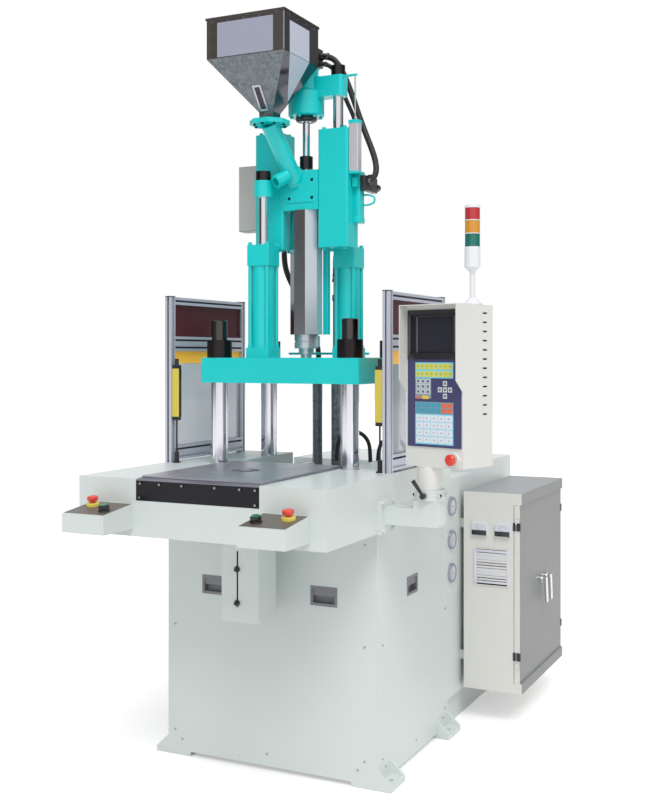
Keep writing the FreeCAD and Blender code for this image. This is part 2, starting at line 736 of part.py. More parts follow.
def clamp_cylinder():
    """Clamp cylinder that hangs under the lower platen: flange, tube and gland in one."""
    flange = bar(0, CLAMP_Y, (BASE_TOP - CLAMP_FLANGE_THICKNESS, BASE_TOP), CLAMP_FLANGE)
    tube = bar(0, CLAMP_Y, (CLAMP_GLAND_Z[0], BASE_TOP), CLAMP_TUBE)
    hollow = bar(0, CLAMP_Y, (CLAMP_GLAND_Z[1], BASE_TOP - CLAMP_FLANGE_THICKNESS), CLAMP_BORE)
    gland = bar(0, CLAMP_Y, (CLAMP_GLAND_Z[0] - 1, CLAMP_GLAND_Z[1] + 1), CLAMP_RAM + 2 * FIT)
    save("clamp_cylinder", cut(joined(flange, tube), hollow, gland))


def pull_plate():
    """Plate that draws the tie bars down, with the clamp ram and its piston on it."""
    y_range = grown((CLAMP_Y, CLAMP_Y), BAR_SPREAD_Y + PULL_PLATE_MARGIN)
    plate = block(grown((0, 0), BAR_X + PULL_PLATE_MARGIN), y_range, (PULL_PLATE_BOTTOM, PULL_PLATE_TOP))
    holes = [bar(x, y, (PULL_PLATE_BOTTOM - 1, PULL_PLATE_TOP + 1), BAR_THREAD + 2 * HOLE_PLAY)
             for x, y in BAR_PLACES]
    piston_bottom = CLAMP_PISTON_TOP - CLAMP_PISTON_THICKNESS
    ram = bar(0, CLAMP_Y, (PULL_PLATE_TOP, piston_bottom), CLAMP_RAM)
    piston = bar(0, CLAMP_Y, (piston_bottom, CLAMP_PISTON_TOP), CLAMP_BORE - 2 * FIT)
    save("pull_plate", cut(plate, *holes), joined(ram, piston))


def tie_bars():
    """Four chromed bars, shouldered under the upper platen and over the pull plate."""
    radius = BAR_DIAMETER / 2
    thread = BAR_THREAD / 2
    bottom = PULL_PLATE_BOTTOM - BAR_NUT_HEIGHT - 10
    profile = [(0, bottom), (thread, bottom), (thread, PULL_PLATE_TOP), (radius, PULL_PLATE_TOP),
               (radius, UPPER_PLATEN_BOTTOM), (thread, UPPER_PLATEN_BOTTOM), (thread, BAR_TOP - 3),
               (thread - 3, BAR_TOP), (0, BAR_TOP)]
    save("tie_bars", *[turned(x, y, profile) for x, y in BAR_PLACES])


def tie_bar_nuts():
    """Round black nuts over the upper platen and under the pull plate."""
    nuts = []
    for x, y in BAR_PLACES:
        for z in (UPPER_PLATEN_TOP, PULL_PLATE_BOTTOM - BAR_NUT_HEIGHT):
            z_range = (z, z + BAR_NUT_HEIGHT)
            nut = bar(x, y, z_range, BAR_NUT).cut(bar(x, y, grown(z_range, 1), BAR_THREAD + 2 * HOLE_PLAY))
            nuts.append(nut)
    save("tie_bar_nuts", *nuts)


def upper_platen():
    """Moving platen: bar holes, sprue bore, locating bore and tapped mould holes below."""
    z_range = (UPPER_PLATEN_BOTTOM, UPPER_PLATEN_TOP)
    plate = block((-UPPER_PLATEN_HALF_WIDTH, UPPER_PLATEN_HALF_WIDTH),
                  (UPPER_PLATEN_FRONT_Y, UPPER_PLATEN_REAR_Y), z_range)
    plate = plate.makeChamfer(PLATEN_CHAMFER, upright_edges(plate))
    tools = [bar(x, y, grown(z_range, 1), BAR_THREAD + 2 * HOLE_PLAY) for x, y in BAR_PLACES]
    tools.append(bar(0, CLAMP_Y, grown(z_range, 1), SPRUE_BORE))
    tools.append(bar(0, CLAMP_Y, (UPPER_PLATEN_BOTTOM - 1, UPPER_PLATEN_BOTTOM + LOCATING_DEPTH),
                     LOCATING_BORE))
    for dx in (-MOULD_SPACING_X / 2, MOULD_SPACING_X / 2):
        for dy in (-MOULD_SPACING_Y / 2, MOULD_SPACING_Y / 2):
            tools.append(bar(dx, CLAMP_Y + dy,
                             (UPPER_PLATEN_BOTTOM - 1, UPPER_PLATEN_BOTTOM + MOULD_HOLE_DEPTH),
                             MOULD_HOLE))
    save("upper_platen", cut(plate, *tools))


# ---------------------------------------------------------------- slide table
def slide_bed():
    """Bed that carries the table's rails out over the apron, with its ribs and ejector guide."""
    front = (BED_FRONT_Y, -PANEL_INNER_Y + PLATEN_SEAT / 2)
    plate = block((-BED_HALF_WIDTH, BED_HALF_WIDTH), front, (PLATEN_TOP - BED_THICKNESS, PLATEN_TOP))
    ribs = [block(grown((side * BED_RIB_X, side * BED_RIB_X), BED_RIB / 2), (BED_FRONT_Y + 5, -PANEL_INNER_Y),
                  (APRON_BOTTOM + COVER_SHEET, PLATEN_TOP - BED_THICKNESS)) for side in (-1, 1)]
    guide = bar(0, TABLE_CENTRE_Y, (PLATEN_TOP - BED_THICKNESS - 1, PLATEN_TOP + 1), EJECTOR_ROD + 2 * FIT)
    rails = [block(grown((side * RAIL_X, side * RAIL_X), RAIL_WIDTH / 2), (BED_FRONT_Y + 8, RAIL_END_Y),
                   (PLATEN_TOP, PLATEN_TOP + RAIL_HEIGHT)) for side in (-1, 1)]
    save("slide_bed", cut(joined(plate, *ribs), guide), *rails)


def slide_table():
    """Ground steel table with its ejector bore and clamping holes, on four rail carriages."""
    bottom = TABLE_TOP - TABLE_THICKNESS
    y_range = grown((TABLE_CENTRE_Y, TABLE_CENTRE_Y), TABLE_LENGTH / 2)
    plate = block((-TABLE_HALF_WIDTH, TABLE_HALF_WIDTH), y_range, (bottom, TABLE_TOP))
    plate = plate.makeChamfer(TABLE_CHAMFER, upright_edges(plate))
    tools = [bar(0, TABLE_CENTRE_Y, (bottom - 1, TABLE_TOP + 1), TABLE_BORE),
             bar(0, TABLE_CENTRE_Y, (TABLE_TOP - TABLE_RING_DEPTH, TABLE_TOP + 1), TABLE_BORE_RING)]
    for dx in (-MOULD_SPACING_X / 2, MOULD_SPACING_X / 2):
        for dy in (-MOULD_SPACING_Y / 2, MOULD_SPACING_Y / 2):
            tools.append(bar(dx, TABLE_CENTRE_Y + dy, (TABLE_TOP - 30, TABLE_TOP + 1), TABLE_HOLE))
    plate = cut(plate, *tools)
    carriages = []
    inner_top = PLATEN_TOP + RAIL_HEIGHT + GAP
    for side in (-1, 1):
        x_range = grown((side * RAIL_X, side * RAIL_X), CARRIAGE_WIDTH / 2)
        slot_x = grown((side * RAIL_X, side * RAIL_X), RAIL_WIDTH / 2 + GAP)
        for end in (-1, 1):
            edge = TABLE_CENTRE_Y + end * (TABLE_LENGTH / 2 - CARRIAGE_INSET)
            y_range = (edge, edge - end * CARRIAGE_LENGTH)
            carriage = block(x_range, y_range, (PLATEN_TOP + 4, bottom))
            carriages.append(carriage.cut(block(slot_x, grown(y_range, 1), (PLATEN_TOP, inner_top))))
    save("slide_table", plate, *carriages)


# ---------------------------------------------------------------- covers and apron
def table_cover():
    """Folded right cover beside the table: top, flanges, holes for the tie bars."""
    outer = COVER_HALF_WIDTH
    inner = COVER_INNER_X
    top = COVER_TOP
    sheet = COVER_SHEET
    deck = block((inner, outer), (COVER_FRONT_Y, COVER_REAR_Y), (top - sheet, top))
    outer_front = block((outer - sheet, outer), (COVER_FRONT_Y, APRON_SIDE_END_Y), (COVER_SEAM_Z, top))
    outer_rear = block((outer - sheet, outer), (APRON_SIDE_END_Y, COVER_REAR_Y), (BASE_TOP, top))
    step = block((PANEL_INNER_X - PLATEN_SEAT, outer), (APRON_SIDE_END_Y, COVER_REAR_Y),
                 (BASE_TOP, BASE_TOP + sheet))
    inner_wall = block((inner, inner + sheet), (-PANEL_INNER_Y + PLATEN_SEAT / 2, COVER_REAR_Y),
                       (PLATEN_TOP, top))
    inner_front = block((inner, inner + sheet), (COVER_FRONT_Y, -PANEL_INNER_Y + PLATEN_SEAT / 2),
                        (COVER_SEAM_Z, top))
    front = block((inner, outer), (COVER_FRONT_Y, COVER_FRONT_Y + sheet), (COVER_SEAM_Z, top))
    back = block((inner, outer), (COVER_REAR_Y - sheet, COVER_REAR_Y), (PLATEN_TOP, top))
    shell = joined(deck, outer_front, outer_rear, step, inner_wall, inner_front, front, back)
    holes = [bar(x, y, (top - 10, top + 1), BAR_DIAMETER + 2 * DECK_PLAY) for x, y in BAR_PLACES if x > 0]
    return cut(shell, *holes)


def table_covers():
    """The two covers beside the table."""
    cover = table_cover()
    save("table_covers", cover, mirrored(cover))


def front_apron():
    """Sheet apron round the front of the bed, open at the top, with the ejector's opening."""
    half = COVER_HALF_WIDTH
    sheet = COVER_SHEET
    z_range = (APRON_BOTTOM, COVER_SEAM_Z)
    front = block((-half, half), (COVER_FRONT_Y, COVER_FRONT_Y + sheet), z_range)
    sides = [block((side * (half - sheet), side * half), (COVER_FRONT_Y, APRON_SIDE_END_Y), z_range)
             for side in (-1, 1)]
    floor = block((-half, half), (COVER_FRONT_Y, -BASE_HALF_DEPTH), (APRON_BOTTOM, APRON_BOTTOM + sheet))
    lips = [block((side * (half - APRON_LIP), side * half), (COVER_FRONT_Y, APRON_SIDE_END_Y),
                  (COVER_SEAM_Z - sheet, COVER_SEAM_Z)) for side in (-1, 1)]
    opening = bar(0, TABLE_CENTRE_Y, grown((APRON_BOTTOM, APRON_BOTTOM + sheet), 1),
                  EJECTOR_TUBE + 2 * DECK_PLAY)
    save("front_apron", cut(joined(front, floor, *sides, *lips), opening))


def front_cover_plate():
    """Black cover plate at the end of the bed and the bevelled nose strip above it."""
    x_range = grown((-COVER_INNER_X, COVER_INNER_X), -GAP)
    plate = block(x_range, (BED_FRONT_Y - FACE_PLATE_THICKNESS, BED_FRONT_Y),
                  (COVER_SEAM_Z + GAP, FACE_PLATE_TOP))
    back = FACE_PLATE_TOP - 12
    nose = plate_yz([(COVER_FRONT_Y, FACE_PLATE_TOP), (COVER_FRONT_Y + 3, FACE_PLATE_TOP + 2),
                     (BED_FRONT_Y + NOSE_DEPTH, FACE_PLATE_TOP + NOSE_HEIGHT),
                     (BED_FRONT_Y + NOSE_DEPTH, back), (BED_FRONT_Y, back),
                     (BED_FRONT_Y, FACE_PLATE_TOP)], x_range)
    save("front_cover_plate", plate, nose)


# ---------------------------------------------------------------- ejector
def ejector_box():
    """Open-topped ejector box under the apron with a slot in front, and the ejector cylinder."""
    outer = block(EJECTOR_BOX_X, EJECTOR_BOX_Y, (EJECTOR_BOX_BOTTOM, APRON_BOTTOM))
    inner = block(grown(EJECTOR_BOX_X, -EJECTOR_SHEET), grown(EJECTOR_BOX_Y, -EJECTOR_SHEET),
                  (EJECTOR_BOX_BOTTOM + EJECTOR_SHEET, APRON_BOTTOM + 1))
    slot = block((-SLOT_WIDTH / 2, SLOT_WIDTH / 2), (EJECTOR_BOX_Y[0] - 1, EJECTOR_BOX_Y[0] + 5), SLOT_Z)
    tube_z = (EJECTOR_CYLINDER_BOTTOM, PLATEN_TOP - BED_THICKNESS)
    tube = bar(0, TABLE_CENTRE_Y, tube_z, EJECTOR_TUBE)
    hollow = bar(0, TABLE_CENTRE_Y, grown(tube_z, -EJECTOR_CYLINDER_END), EJECTOR_BORE)
    guide = bar(0, TABLE_CENTRE_Y, grown(tube_z, 1), EJECTOR_ROD + 2 * FIT)
    save("ejector_box", cut(outer, inner, slot), cut(tube, hollow, guide))


def pointer_stem(z, inner_y):
    """The stem and cone knob that run in the ejector box's slot."""
    front_y = EJECTOR_BOX_Y[0]
    stem = bar_along((0, inner_y, z), (0, -1, 0), inner_y - front_y + 10, POINTER_STEM)
    knob = turned_about(turned(0, 0, [(0, 0), (11, 0), (11, 6), (4, 20), (0, 20)]), (0, 0, 0), X_AXIS, 90)
    return stem, moved(knob, 0, front_y - GAP, z)


def ejector_rod():
    """Ejector rod with its piston and the pointer that shows its stroke in the slot."""
    rod = bar(0, TABLE_CENTRE_Y, (EJECTOR_ROD_BOTTOM, EJECTOR_ROD_TOP), EJECTOR_ROD)
    piston = bar(0, TABLE_CENTRE_Y, EJECTOR_PISTON_Z, EJECTOR_BORE - 2 * FIT)
    clamp = bar(0, TABLE_CENTRE_Y, grown((POINTER_Z, POINTER_Z), 10), EJECTOR_ROD + 16)
    stem, knob = pointer_stem(POINTER_Z, TABLE_CENTRE_Y)
    save("ejector_rod", joined(rod, piston, clamp, stem, knob))


def stroke_stop():
    """Stop that is slid along the slot and nipped with its knob and inner washer."""
    inner_y = EJECTOR_BOX_Y[0] + EJECTOR_SHEET
    stem, knob = pointer_stem(STOP_Z, inner_y + 6)
    washer = bar_along((0, inner_y + GAP, STOP_Z), (0, 1, 0), 6, 18)
    save("stroke_stop", joined(stem, knob, washer))


# ---------------------------------------------------------------- control boxes
def box_slope():
    """The angle at which a control box's top rises to the rear."""
    return math.degrees(math.atan2(BOX_REAR_TOP - BOX_FRONT_TOP, COVER_FRONT_Y - BOX_FRONT_Y))


def on_slope(piece, x, y):
    """Stand a piece, built upright on the origin, on a control box's sloping top."""
    z = BOX_FRONT_TOP + (y - BOX_FRONT_Y) * math.tan(math.radians(box_slope()))
    return moved(turned_about(piece, (0, 0, 0), X_AXIS, box_slope()), x, y, z)


def collar(diameter, height):
    """A button's collar, bored for its stem."""
    ring = turned(0, 0, [(STEM / 2 + FIT, 0), (diameter / 2, 0), (diameter / 2, height - 2),
                         (diameter / 2 - 2, height), (STEM / 2 + FIT, height)])
    return ring


def estop_button():
    """Mushroom head and stem of an emergency stop, over a collar that starts at the origin."""
    low = ESTOP_COLLAR_HEIGHT + ESTOP_TRAVEL + GAP
    head = ESTOP_HEAD / 2
    top = low + ESTOP_HEIGHT - 8
    dome = turned(0, 0, [(0, -BUTTON_WELL + 8), (STEM / 2, -BUTTON_WELL + 8), (STEM / 2, low),
                         (head - 6, low),
                         (head, low + 6), (head, top - 4), (head - 4, top), (0, top + 2)])
    return dome


def start_button():
    """Domed start button with its stem."""
    low = START_COLLAR_HEIGHT + START_TRAVEL + GAP
    cap = START_CAP / 2
    head = START_HEAD / 2
    return turned(0, 0, [(0, -BUTTON_WELL + 8), (STEM / 2, -BUTTON_WELL + 8), (STEM / 2, low), (head, low),
                         (head, low + 9), (cap, low + 12), (cap, low + 15), (0, low + 15)])


def control_boxes():
    """Two-hand control boxes on the apron, bored for the buttons, with the buttons' collars."""
    pieces = []
    well = bar(0, 0, (-BUTTON_WELL, 5), STEM + 4)
    for side in (-1, 1):
        x_range = (side * BOX_X[0], side * BOX_X[1])
        body = plate_yz([(BOX_FRONT_Y, BOX_BOTTOM), (BOX_FRONT_Y, BOX_FRONT_TOP),
                         (COVER_FRONT_Y, BOX_REAR_TOP),
                         (COVER_FRONT_Y, BOX_BOTTOM)], x_range)
        for x, y, ring in ((ESTOP_X, ESTOP_Y, collar(ESTOP_COLLAR, ESTOP_COLLAR_HEIGHT)),
                           (START_X, START_Y, collar(START_COLLAR, START_COLLAR_HEIGHT))):
            body = body.cut(on_slope(well, side * x, y))
            pieces.append(on_slope(ring, side * x, y))
        pieces.append(body)
    save("control_boxes", *pieces)


def box_buttons():
    """The four buttons of the two control boxes, each in its own node."""
    for side, name in ((-1, "left"), (1, "right")):
        save("emergency_stop_" + name, on_slope(estop_button(), side * ESTOP_X, ESTOP_Y))
        save("start_button_" + name, on_slope(start_button(), side * START_X, START_Y))


# ---------------------------------------------------------------- guards
def profile_bar(width, height, length):
    """Slotted aluminium profile, drawn upright from the origin; width is a multiple of its module."""
    bar_shape = block(grown((0, 0), width / 2), grown((0, 0), height / 2), (0, length))
    tools = []
    for span, other, turn in ((width, height, 0), (height, width, 90)):
        count = int(round(span / PROFILE))
        for index in range(count):
            offset = (index - (count - 1) / 2) * PROFILE
            for face in (-1, 1):
                slot = block(grown((offset, offset), PROFILE_SLOT / 2),
                             (face * other / 2, face * (other / 2 - PROFILE_SLOT_DEPTH)), (-1, length + 1))
                tools.append(turned_about(slot, (0, 0, 0), Z_AXIS, turn))
    return cut(bar_shape, *tools)


def guard_frame():
    """Right guard: two posts with caps and three rails, each its own piece."""
    post = profile_bar(PROFILE, PROFILE, GUARD_TOP - CAP_HEIGHT - COVER_TOP)
    pieces = []
    for y in (GUARD_FRONT_Y, GUARD_REAR_Y):
        pieces.append(moved(post, GUARD_X, y, COVER_TOP))
        pieces.append(block(grown((GUARD_X, GUARD_X), PROFILE / 2), grown((y, y), PROFILE / 2),
                            (GUARD_TOP - CAP_HEIGHT, GUARD_TOP)))
    run = GUARD_REAR_Y - GUARD_FRONT_Y - PROFILE
    start_y = GUARD_REAR_Y - PROFILE / 2
    for z, height in ((GUARD_TOP - CAP_HEIGHT - PROFILE, PROFILE), (MIDDLE_RAIL_Z, 2 * PROFILE),
                      (BOTTOM_RAIL_Z, 2 * PROFILE)):
        rail = turned_about(profile_bar(PROFILE, height, run), (0, 0, 0), X_AXIS, 90)
        pieces.append(moved(rail, GUARD_X, start_y, z + height / 2))
    return pieces


def guard_frames():
    """Both guard frames."""
    right = guard_frame()
    save("guard_frames", *right, *[mirrored(piece) for piece in right])


def guard_panes():
    """Tinted upper pane, coloured band and clear lower pane of each guard; they stand in the bars' slots."""
    x_range = grown((GUARD_X, GUARD_X), PANE / 2)
    held = PROFILE_SLOT_DEPTH - PANE_PLAY
    y_range = (GUARD_FRONT_Y + PROFILE / 2 - held, GUARD_REAR_Y - PROFILE / 2 + held)
    heights = ((BOTTOM_RAIL_Z + 2 * PROFILE - PROFILE_SLOT_DEPTH, BAND_Z), (BAND_Z, MIDDLE_RAIL_Z + held),
               (MIDDLE_RAIL_Z + 2 * PROFILE - PROFILE_SLOT_DEPTH, GUARD_TOP - CAP_HEIGHT - PROFILE + held))
    panes = [block(x_range, y_range, z_range) for z_range in heights]
    save("guard_panes", *panes, *[mirrored(pane) for pane in panes])


def light_curtains():
    """Light curtain bars on the front posts, with their brackets, glands and leads."""
    inner = GUARD_X - PROFILE / 2
    x_range = (inner - CURTAIN_WIDTH, inner)
    y_range = grown((GUARD_FRONT_Y, GUARD_FRONT_Y), CURTAIN_DEPTH / 2)
    rail = block(x_range, y_range, CURTAIN_Z)
    rail = rail.makeFillet(3, upright_edges(rail))
    ends = [block(grown(x_range, -2), grown(y_range, -2), z_range)
            for z_range in ((CURTAIN_Z[0] - CURTAIN_END, CURTAIN_Z[0]),
                            (CURTAIN_Z[1], CURTAIN_Z[1] + CURTAIN_END))]
    x = inner - CURTAIN_WIDTH / 2
    knob = bar(x, GUARD_FRONT_Y, (CURTAIN_Z[1] + CURTAIN_END, CURTAIN_Z[1] + CURTAIN_END + 26), 16)
    gland = turned(x, GUARD_FRONT_Y, [(0, COVER_TOP), (PROFILE / 2, COVER_TOP), (PROFILE / 2, COVER_TOP + 5),
                                      (GLAND_DIAMETER / 2, COVER_TOP + 5),
                                      (GLAND_DIAMETER / 2, COVER_TOP + GLAND_HEIGHT),
                                      (0, COVER_TOP + GLAND_HEIGHT)])
    lead = bar(x, GUARD_FRONT_Y, (COVER_TOP + GLAND_HEIGHT, CURTAIN_Z[0] - CURTAIN_END), CABLE)
    whole = joined(rail, *ends, knob, gland, lead)
    save("light_curtains", whole, mirrored(whole))


# ---------------------------------------------------------------- panel arm and control panel
def panel_arm():
    """Bolted flange, box arm, upright and collar that carry the control panel."""
    x0 = COVER_HALF_WIDTH
    flange = block((x0, x0 + FLANGE_THICKNESS), FLANGE_Y, FLANGE_Z)
    bolts = [bar_along((x0 + FLANGE_THICKNESS, y, z), (1, 0, 0), 8, 16)
             for y in grown(FLANGE_Y, -12) for z in grown(FLANGE_Z, -14)]
    arm = block((x0 + FLANGE_THICKNESS, UPRIGHT_X[1]), ARM_Y, ARM_Z)
    upright = block(UPRIGHT_X, ARM_Y, (ARM_Z[1], UPRIGHT_TOP))
    neck = bar(PIVOT_X, PIVOT_Y, (UPRIGHT_TOP, COLLAR_TOP), COLLAR_DIAMETER)
    socket = bar(PIVOT_X, PIVOT_Y, (COLLAR_TOP - SOCKET_DEPTH, COLLAR_TOP + 1), SOCKET_DIAMETER + 2 * FIT)
    thread = bar_along((PIVOT_X, PIVOT_Y, (UPRIGHT_TOP + COLLAR_TOP) / 2), (0, -1, 0), COLLAR_DIAMETER,
                       12 + 2 * FIT)
    screws = [bar_along((PIVOT_X, PIVOT_Y, (UPRIGHT_TOP + COLLAR_TOP) / 2),
                        (math.cos(math.radians(turn)), math.sin(math.radians(turn)), 0),
                        COLLAR_DIAMETER / 2 + 8, 10)
              for turn in (-40, 0)]
    save("panel_arm", cut(joined(flange, *bolts, arm, upright, neck, *screws), socket, thread))


def clamp_lever():
    """Clamp screw in the collar with its ball-ended lever."""
    z = (UPRIGHT_TOP + COLLAR_TOP) / 2
    reach = COLLAR_DIAMETER / 2
    screw = bar_along((PIVOT_X, PIVOT_Y - SOCKET_DIAMETER / 2 - 1, z), (0, -1, 0),
                      reach - SOCKET_DIAMETER / 2 + 19, 12)
    hub = bar_along((PIVOT_X, PIVOT_Y - reach - 2, z), (0, -1, 0), 18, 20)
    handle = Part.makeCone(5, 8, 66, V(PIVOT_X, PIVOT_Y - reach - 11, z), V(-0.55, -0.1, 0.83))
    save("clamp_lever", joined(screw, hub, handle))


def placed_on_panel(shape):
    """Move a piece from the panel's own frame, centred on its middle, to its place."""
    return moved(turned_about(shape, (0, 0, 0), Z_AXIS, PANEL_TURN), PANEL_CENTRE[0], PANEL_CENTRE[1], 0)


def panel_pillar():
    """The swivelling pillar under the panel; its spigot turns in the arm's collar."""
    post = bar(PIVOT_X, PIVOT_Y, (COLLAR_TOP + GAP, PANEL_BOTTOM), PILLAR_DIAMETER)
    spigot = bar(PIVOT_X, PIVOT_Y, (COLLAR_TOP - SOCKET_DEPTH + GAP, COLLAR_TOP + GAP), SOCKET_DIAMETER)
    return joined(post, spigot)


def control_case():
    """Panel housing with a hood round the screen and side vents, the stop's collar and the pillar."""
    half_u = PANEL_WIDTH / 2
    half_v = PANEL_DEPTH / 2
    wall = PANEL_WALL
    body = block((-half_u, half_u), (-half_v, half_v), (PANEL_BOTTOM, PANEL_TOP))
    body = body.cut(block(grown((-half_u, half_u), -wall), grown((-half_v, half_v), -wall),
                          grown((PANEL_BOTTOM, PANEL_TOP), -wall)))
    side = [(-half_v, HOOD_LOW_Z), (-half_v - HOOD_DEPTH, HOOD_KINK_Z), (-half_v - HOOD_DEPTH, PANEL_TOP),
            (-half_v, PANEL_TOP)]
    hood = plate_yz(side, (-half_u, half_u))
    hood = hood.cut(block(grown((-half_u, half_u), -wall), (-half_v - HOOD_DEPTH - 1, -half_v),
                          (HOOD_LOW_Z - 1, PANEL_TOP - wall)))
    well = bar_along((PANEL_ESTOP_U, -half_v - 1, PANEL_ESTOP_Z), (0, 1, 0), BUTTON_WELL + 1, STEM + 4)
    vents = []
    for index in range(VENT_COUNT):
        z = VENT_Z[0] + index * (VENT_Z[1] - VENT_Z[0]) / (VENT_COUNT - 1)
        vents.append(block((half_u - 2 * wall, half_u + 1),
                           (half_v - VENT_MARGIN - VENT_LENGTH, half_v - VENT_MARGIN),
                           (z, z + VENT_HEIGHT)))
    case = cut(joined(body, hood), well, *vents)
    ring = turned_about(collar(ESTOP_COLLAR, ESTOP_COLLAR_HEIGHT), (0, 0, 0), X_AXIS, 90)
    ring = moved(ring, PANEL_ESTOP_U, -half_v, PANEL_ESTOP_Z)
    save("control_case", placed_on_panel(case), placed_on_panel(ring), panel_pillar())


def control_face():
    """Face plate with the recessed screen above the key field."""
    half_u = PANEL_WIDTH / 2
    front = -PANEL_DEPTH / 2
    u_range = (-half_u + FACE_LEFT_MARGIN, half_u - FACE_RIGHT_MARGIN)
    plate = block(u_range, (front - FACE_THICKNESS, front), (KEYPAD_Z[0], SCREEN_TOP))
    middle = sum(u_range) / 2
    screen_z = (SCREEN_TOP + KEYPAD_Z[1]) / 2
    recess = block(grown((middle, middle), SCREEN_SIZE[0] / 2),
                   (front - FACE_THICKNESS - 1, front - FACE_THICKNESS + SCREEN_RECESS),
                   grown((screen_z, screen_z), SCREEN_SIZE[1] / 2))
    save("control_face", placed_on_panel(plate.cut(recess)))


def panel_estop():
    """Emergency stop on the control panel."""
    button = turned_about(estop_button(), (0, 0, 0), X_AXIS, 90)
    save("emergency_stop_panel",
         placed_on_panel(moved(button, PANEL_ESTOP_U, -PANEL_DEPTH / 2, PANEL_ESTOP_Z)))


def tower_light():
    """Signal tower: flared foot, pole, base, three lenses and cap as separate pieces."""
    pole = TOWER_POLE / 2
    radius = TOWER_DIAMETER / 2
    low, high = TOWER_BASE_Z
    stand = turned(0, 0, [(0, PANEL_TOP), (TOWER_FOOT / 2, PANEL_TOP), (TOWER_FOOT / 2, PANEL_TOP + 4),
                          (pole + 3, PANEL_TOP + 22), (pole, PANEL_TOP + 24), (pole, low - 12),
                          (radius - 6, low),
                          (radius, low + 4), (radius, high), (0, high)])
    pieces = [stand]
    bottom = high
    for top in TOWER_LENS_TOPS:
        pieces.append(turned(0, 0, [(0, bottom), (radius - 1.5, bottom), (radius - 1.5, top - 3),
                                    (radius, top - 3),
                                    (radius, top), (0, top)]))
        bottom = top
    pieces.append(turned(0, 0, [(0, bottom), (radius, bottom), (radius, TOWER_CAP_TOP - 5),
                                (radius - 6, TOWER_CAP_TOP), (0, TOWER_CAP_TOP)]))
    save("tower_light", *[placed_on_panel(moved(piece, TOWER_U, TOWER_V, 0)) for piece in pieces])


# ---------------------------------------------------------------- electric cabinet
def pivot_places():
    """The upright axes of the two doors, front door first."""
    x = DOOR_X[1] - PIVOT_INSET
    return ((x, CABINET_Y[0] + PIVOT_INSET), (x, CABINET_Y[1] - PIVOT_INSET))


def door_heights():
    """The doors' height range, between the cabinet's two rims."""
    return (CABINET_Z[0] + BOTTOM_RIM + DOOR_INSET, CABINET_Z[1] - ROOF_RIM - DOOR_INSET)


def electric_cabinet():
    """Cabinet shell open to the right between deep rims, with the doors' pivot pins."""
    sheet = CABINET_SHEET
    shell = block(CABINET_X, CABINET_Y, CABINET_Z)
    rims = [block((CABINET_X[1], RIM_X), CABINET_Y, z_range)
            for z_range in ((CABINET_Z[1] - ROOF_RIM, CABINET_Z[1]),
                            (CABINET_Z[0], CABINET_Z[0] + BOTTOM_RIM))]
    hollow = block((CABINET_X[0] + sheet, CABINET_X[1] + 1), grown(CABINET_Y, -sheet),
                   (CABINET_Z[0] + BOTTOM_RIM, CABINET_Z[1] - ROOF_RIM))
    low, high = door_heights()
    pins = []
    for x, y in pivot_places():
        pins.append(bar(x, y, (low - DOOR_INSET, low + 10), PIVOT_PIN))
        pins.append(bar(x, y, (high - 10, high + DOOR_INSET), PIVOT_PIN))
    brackets = [block((BASE_HALF_WIDTH, CABINET_X[0]), (GAUGE_PANEL_Y[1] + 5, CABINET_Y[1]), (z, z + 40))
                for z in (260, 840)]
    slats = []
    pitch = (GRILLE_Z[1] - GRILLE_Z[0]) / GRILLE_SLATS
    frame = block(GRILLE_X, (CABINET_Y[0] - 4, CABINET_Y[0]), GRILLE_Z)
    for index in range(GRILLE_SLATS):
        z = GRILLE_Z[0] + index * pitch
        slats.append(block(grown(GRILLE_X, -8), (CABINET_Y[0] - 5, CABINET_Y[0] + sheet + 1),
                           (z + pitch * 0.3, z + pitch * 0.75)))
    tray_x = (CABINET_X[0] + sheet, CABINET_X[0] + sheet + TRAY_THICKNESS)
    tray = block(tray_x, grown(CABINET_Y, -TRAY_MARGIN), TRAY_Z)
    devices = []
    for row, z in enumerate(DEVICE_ROWS):
        for column in range(4 - row % 2):
            y = CABINET_Y[0] + DEVICE_INSET + column * DEVICE_PITCH
            devices.append(block((tray_x[1], tray_x[1] + DEVICE_SIZE[0]), (y, y + DEVICE_SIZE[1]),
                                 (z, z + DEVICE_SIZE[2])))
    cabinet = cut(joined(shell, *rims, frame), hollow, *slats)
    save("electric_cabinet", joined(cabinet, *pins, *brackets))
    save("cabinet_backplate", joined(tray, *devices))


def cabinet_door(end):
    """One folded door tray with pivot bores, its black pivot covers and the handle's hole."""
    low, high = door_heights()
    middle = sum(CABINET_Y) / 2
    outer_y = CABINET_Y[0] if end < 0 else CABINET_Y[1]
    y_range = (outer_y, middle + end * 1.0)
    tray = block(DOOR_X, y_range, (low, high))
    hollow = block((DOOR_X[0] - 1, DOOR_X[1] - DOOR_SHEET), grown(y_range, -DOOR_SHEET),
                   grown((low, high), -DOOR_SHEET))
    x, y = pivot_places()[0 if end < 0 else 1]
    tray = tray.cut(hollow)
    tray = joined(tray, *[bar(x, y, z_range, PIVOT_PIN + 6).common(block(DOOR_X, y_range, (low, high)))
                          for z_range in ((low, low + 14), (high - 14, high))])
    bores = [bar(x, y, z_range, PIVOT_PIN + 2 * FIT)
             for z_range in ((low - 1, low + 11), (high - 11, high + 1))]
    handle_y = middle + end * DOOR_HANDLE_INSET
    bores.append(bar_along((DOOR_X[0], handle_y, DOOR_HANDLE_Z), (1, 0, 0), 60, HANDLE_SHAFT + 2 * FIT))
    covers = [block((DOOR_X[0] + 5, DOOR_X[1] - 2), (outer_y, outer_y + end * 4),
                    grown((z, z), PIVOT_BLOCK / 2))
              for z in (low + 75, high - 72)]
    return cut(joined(tray, *covers), *bores)


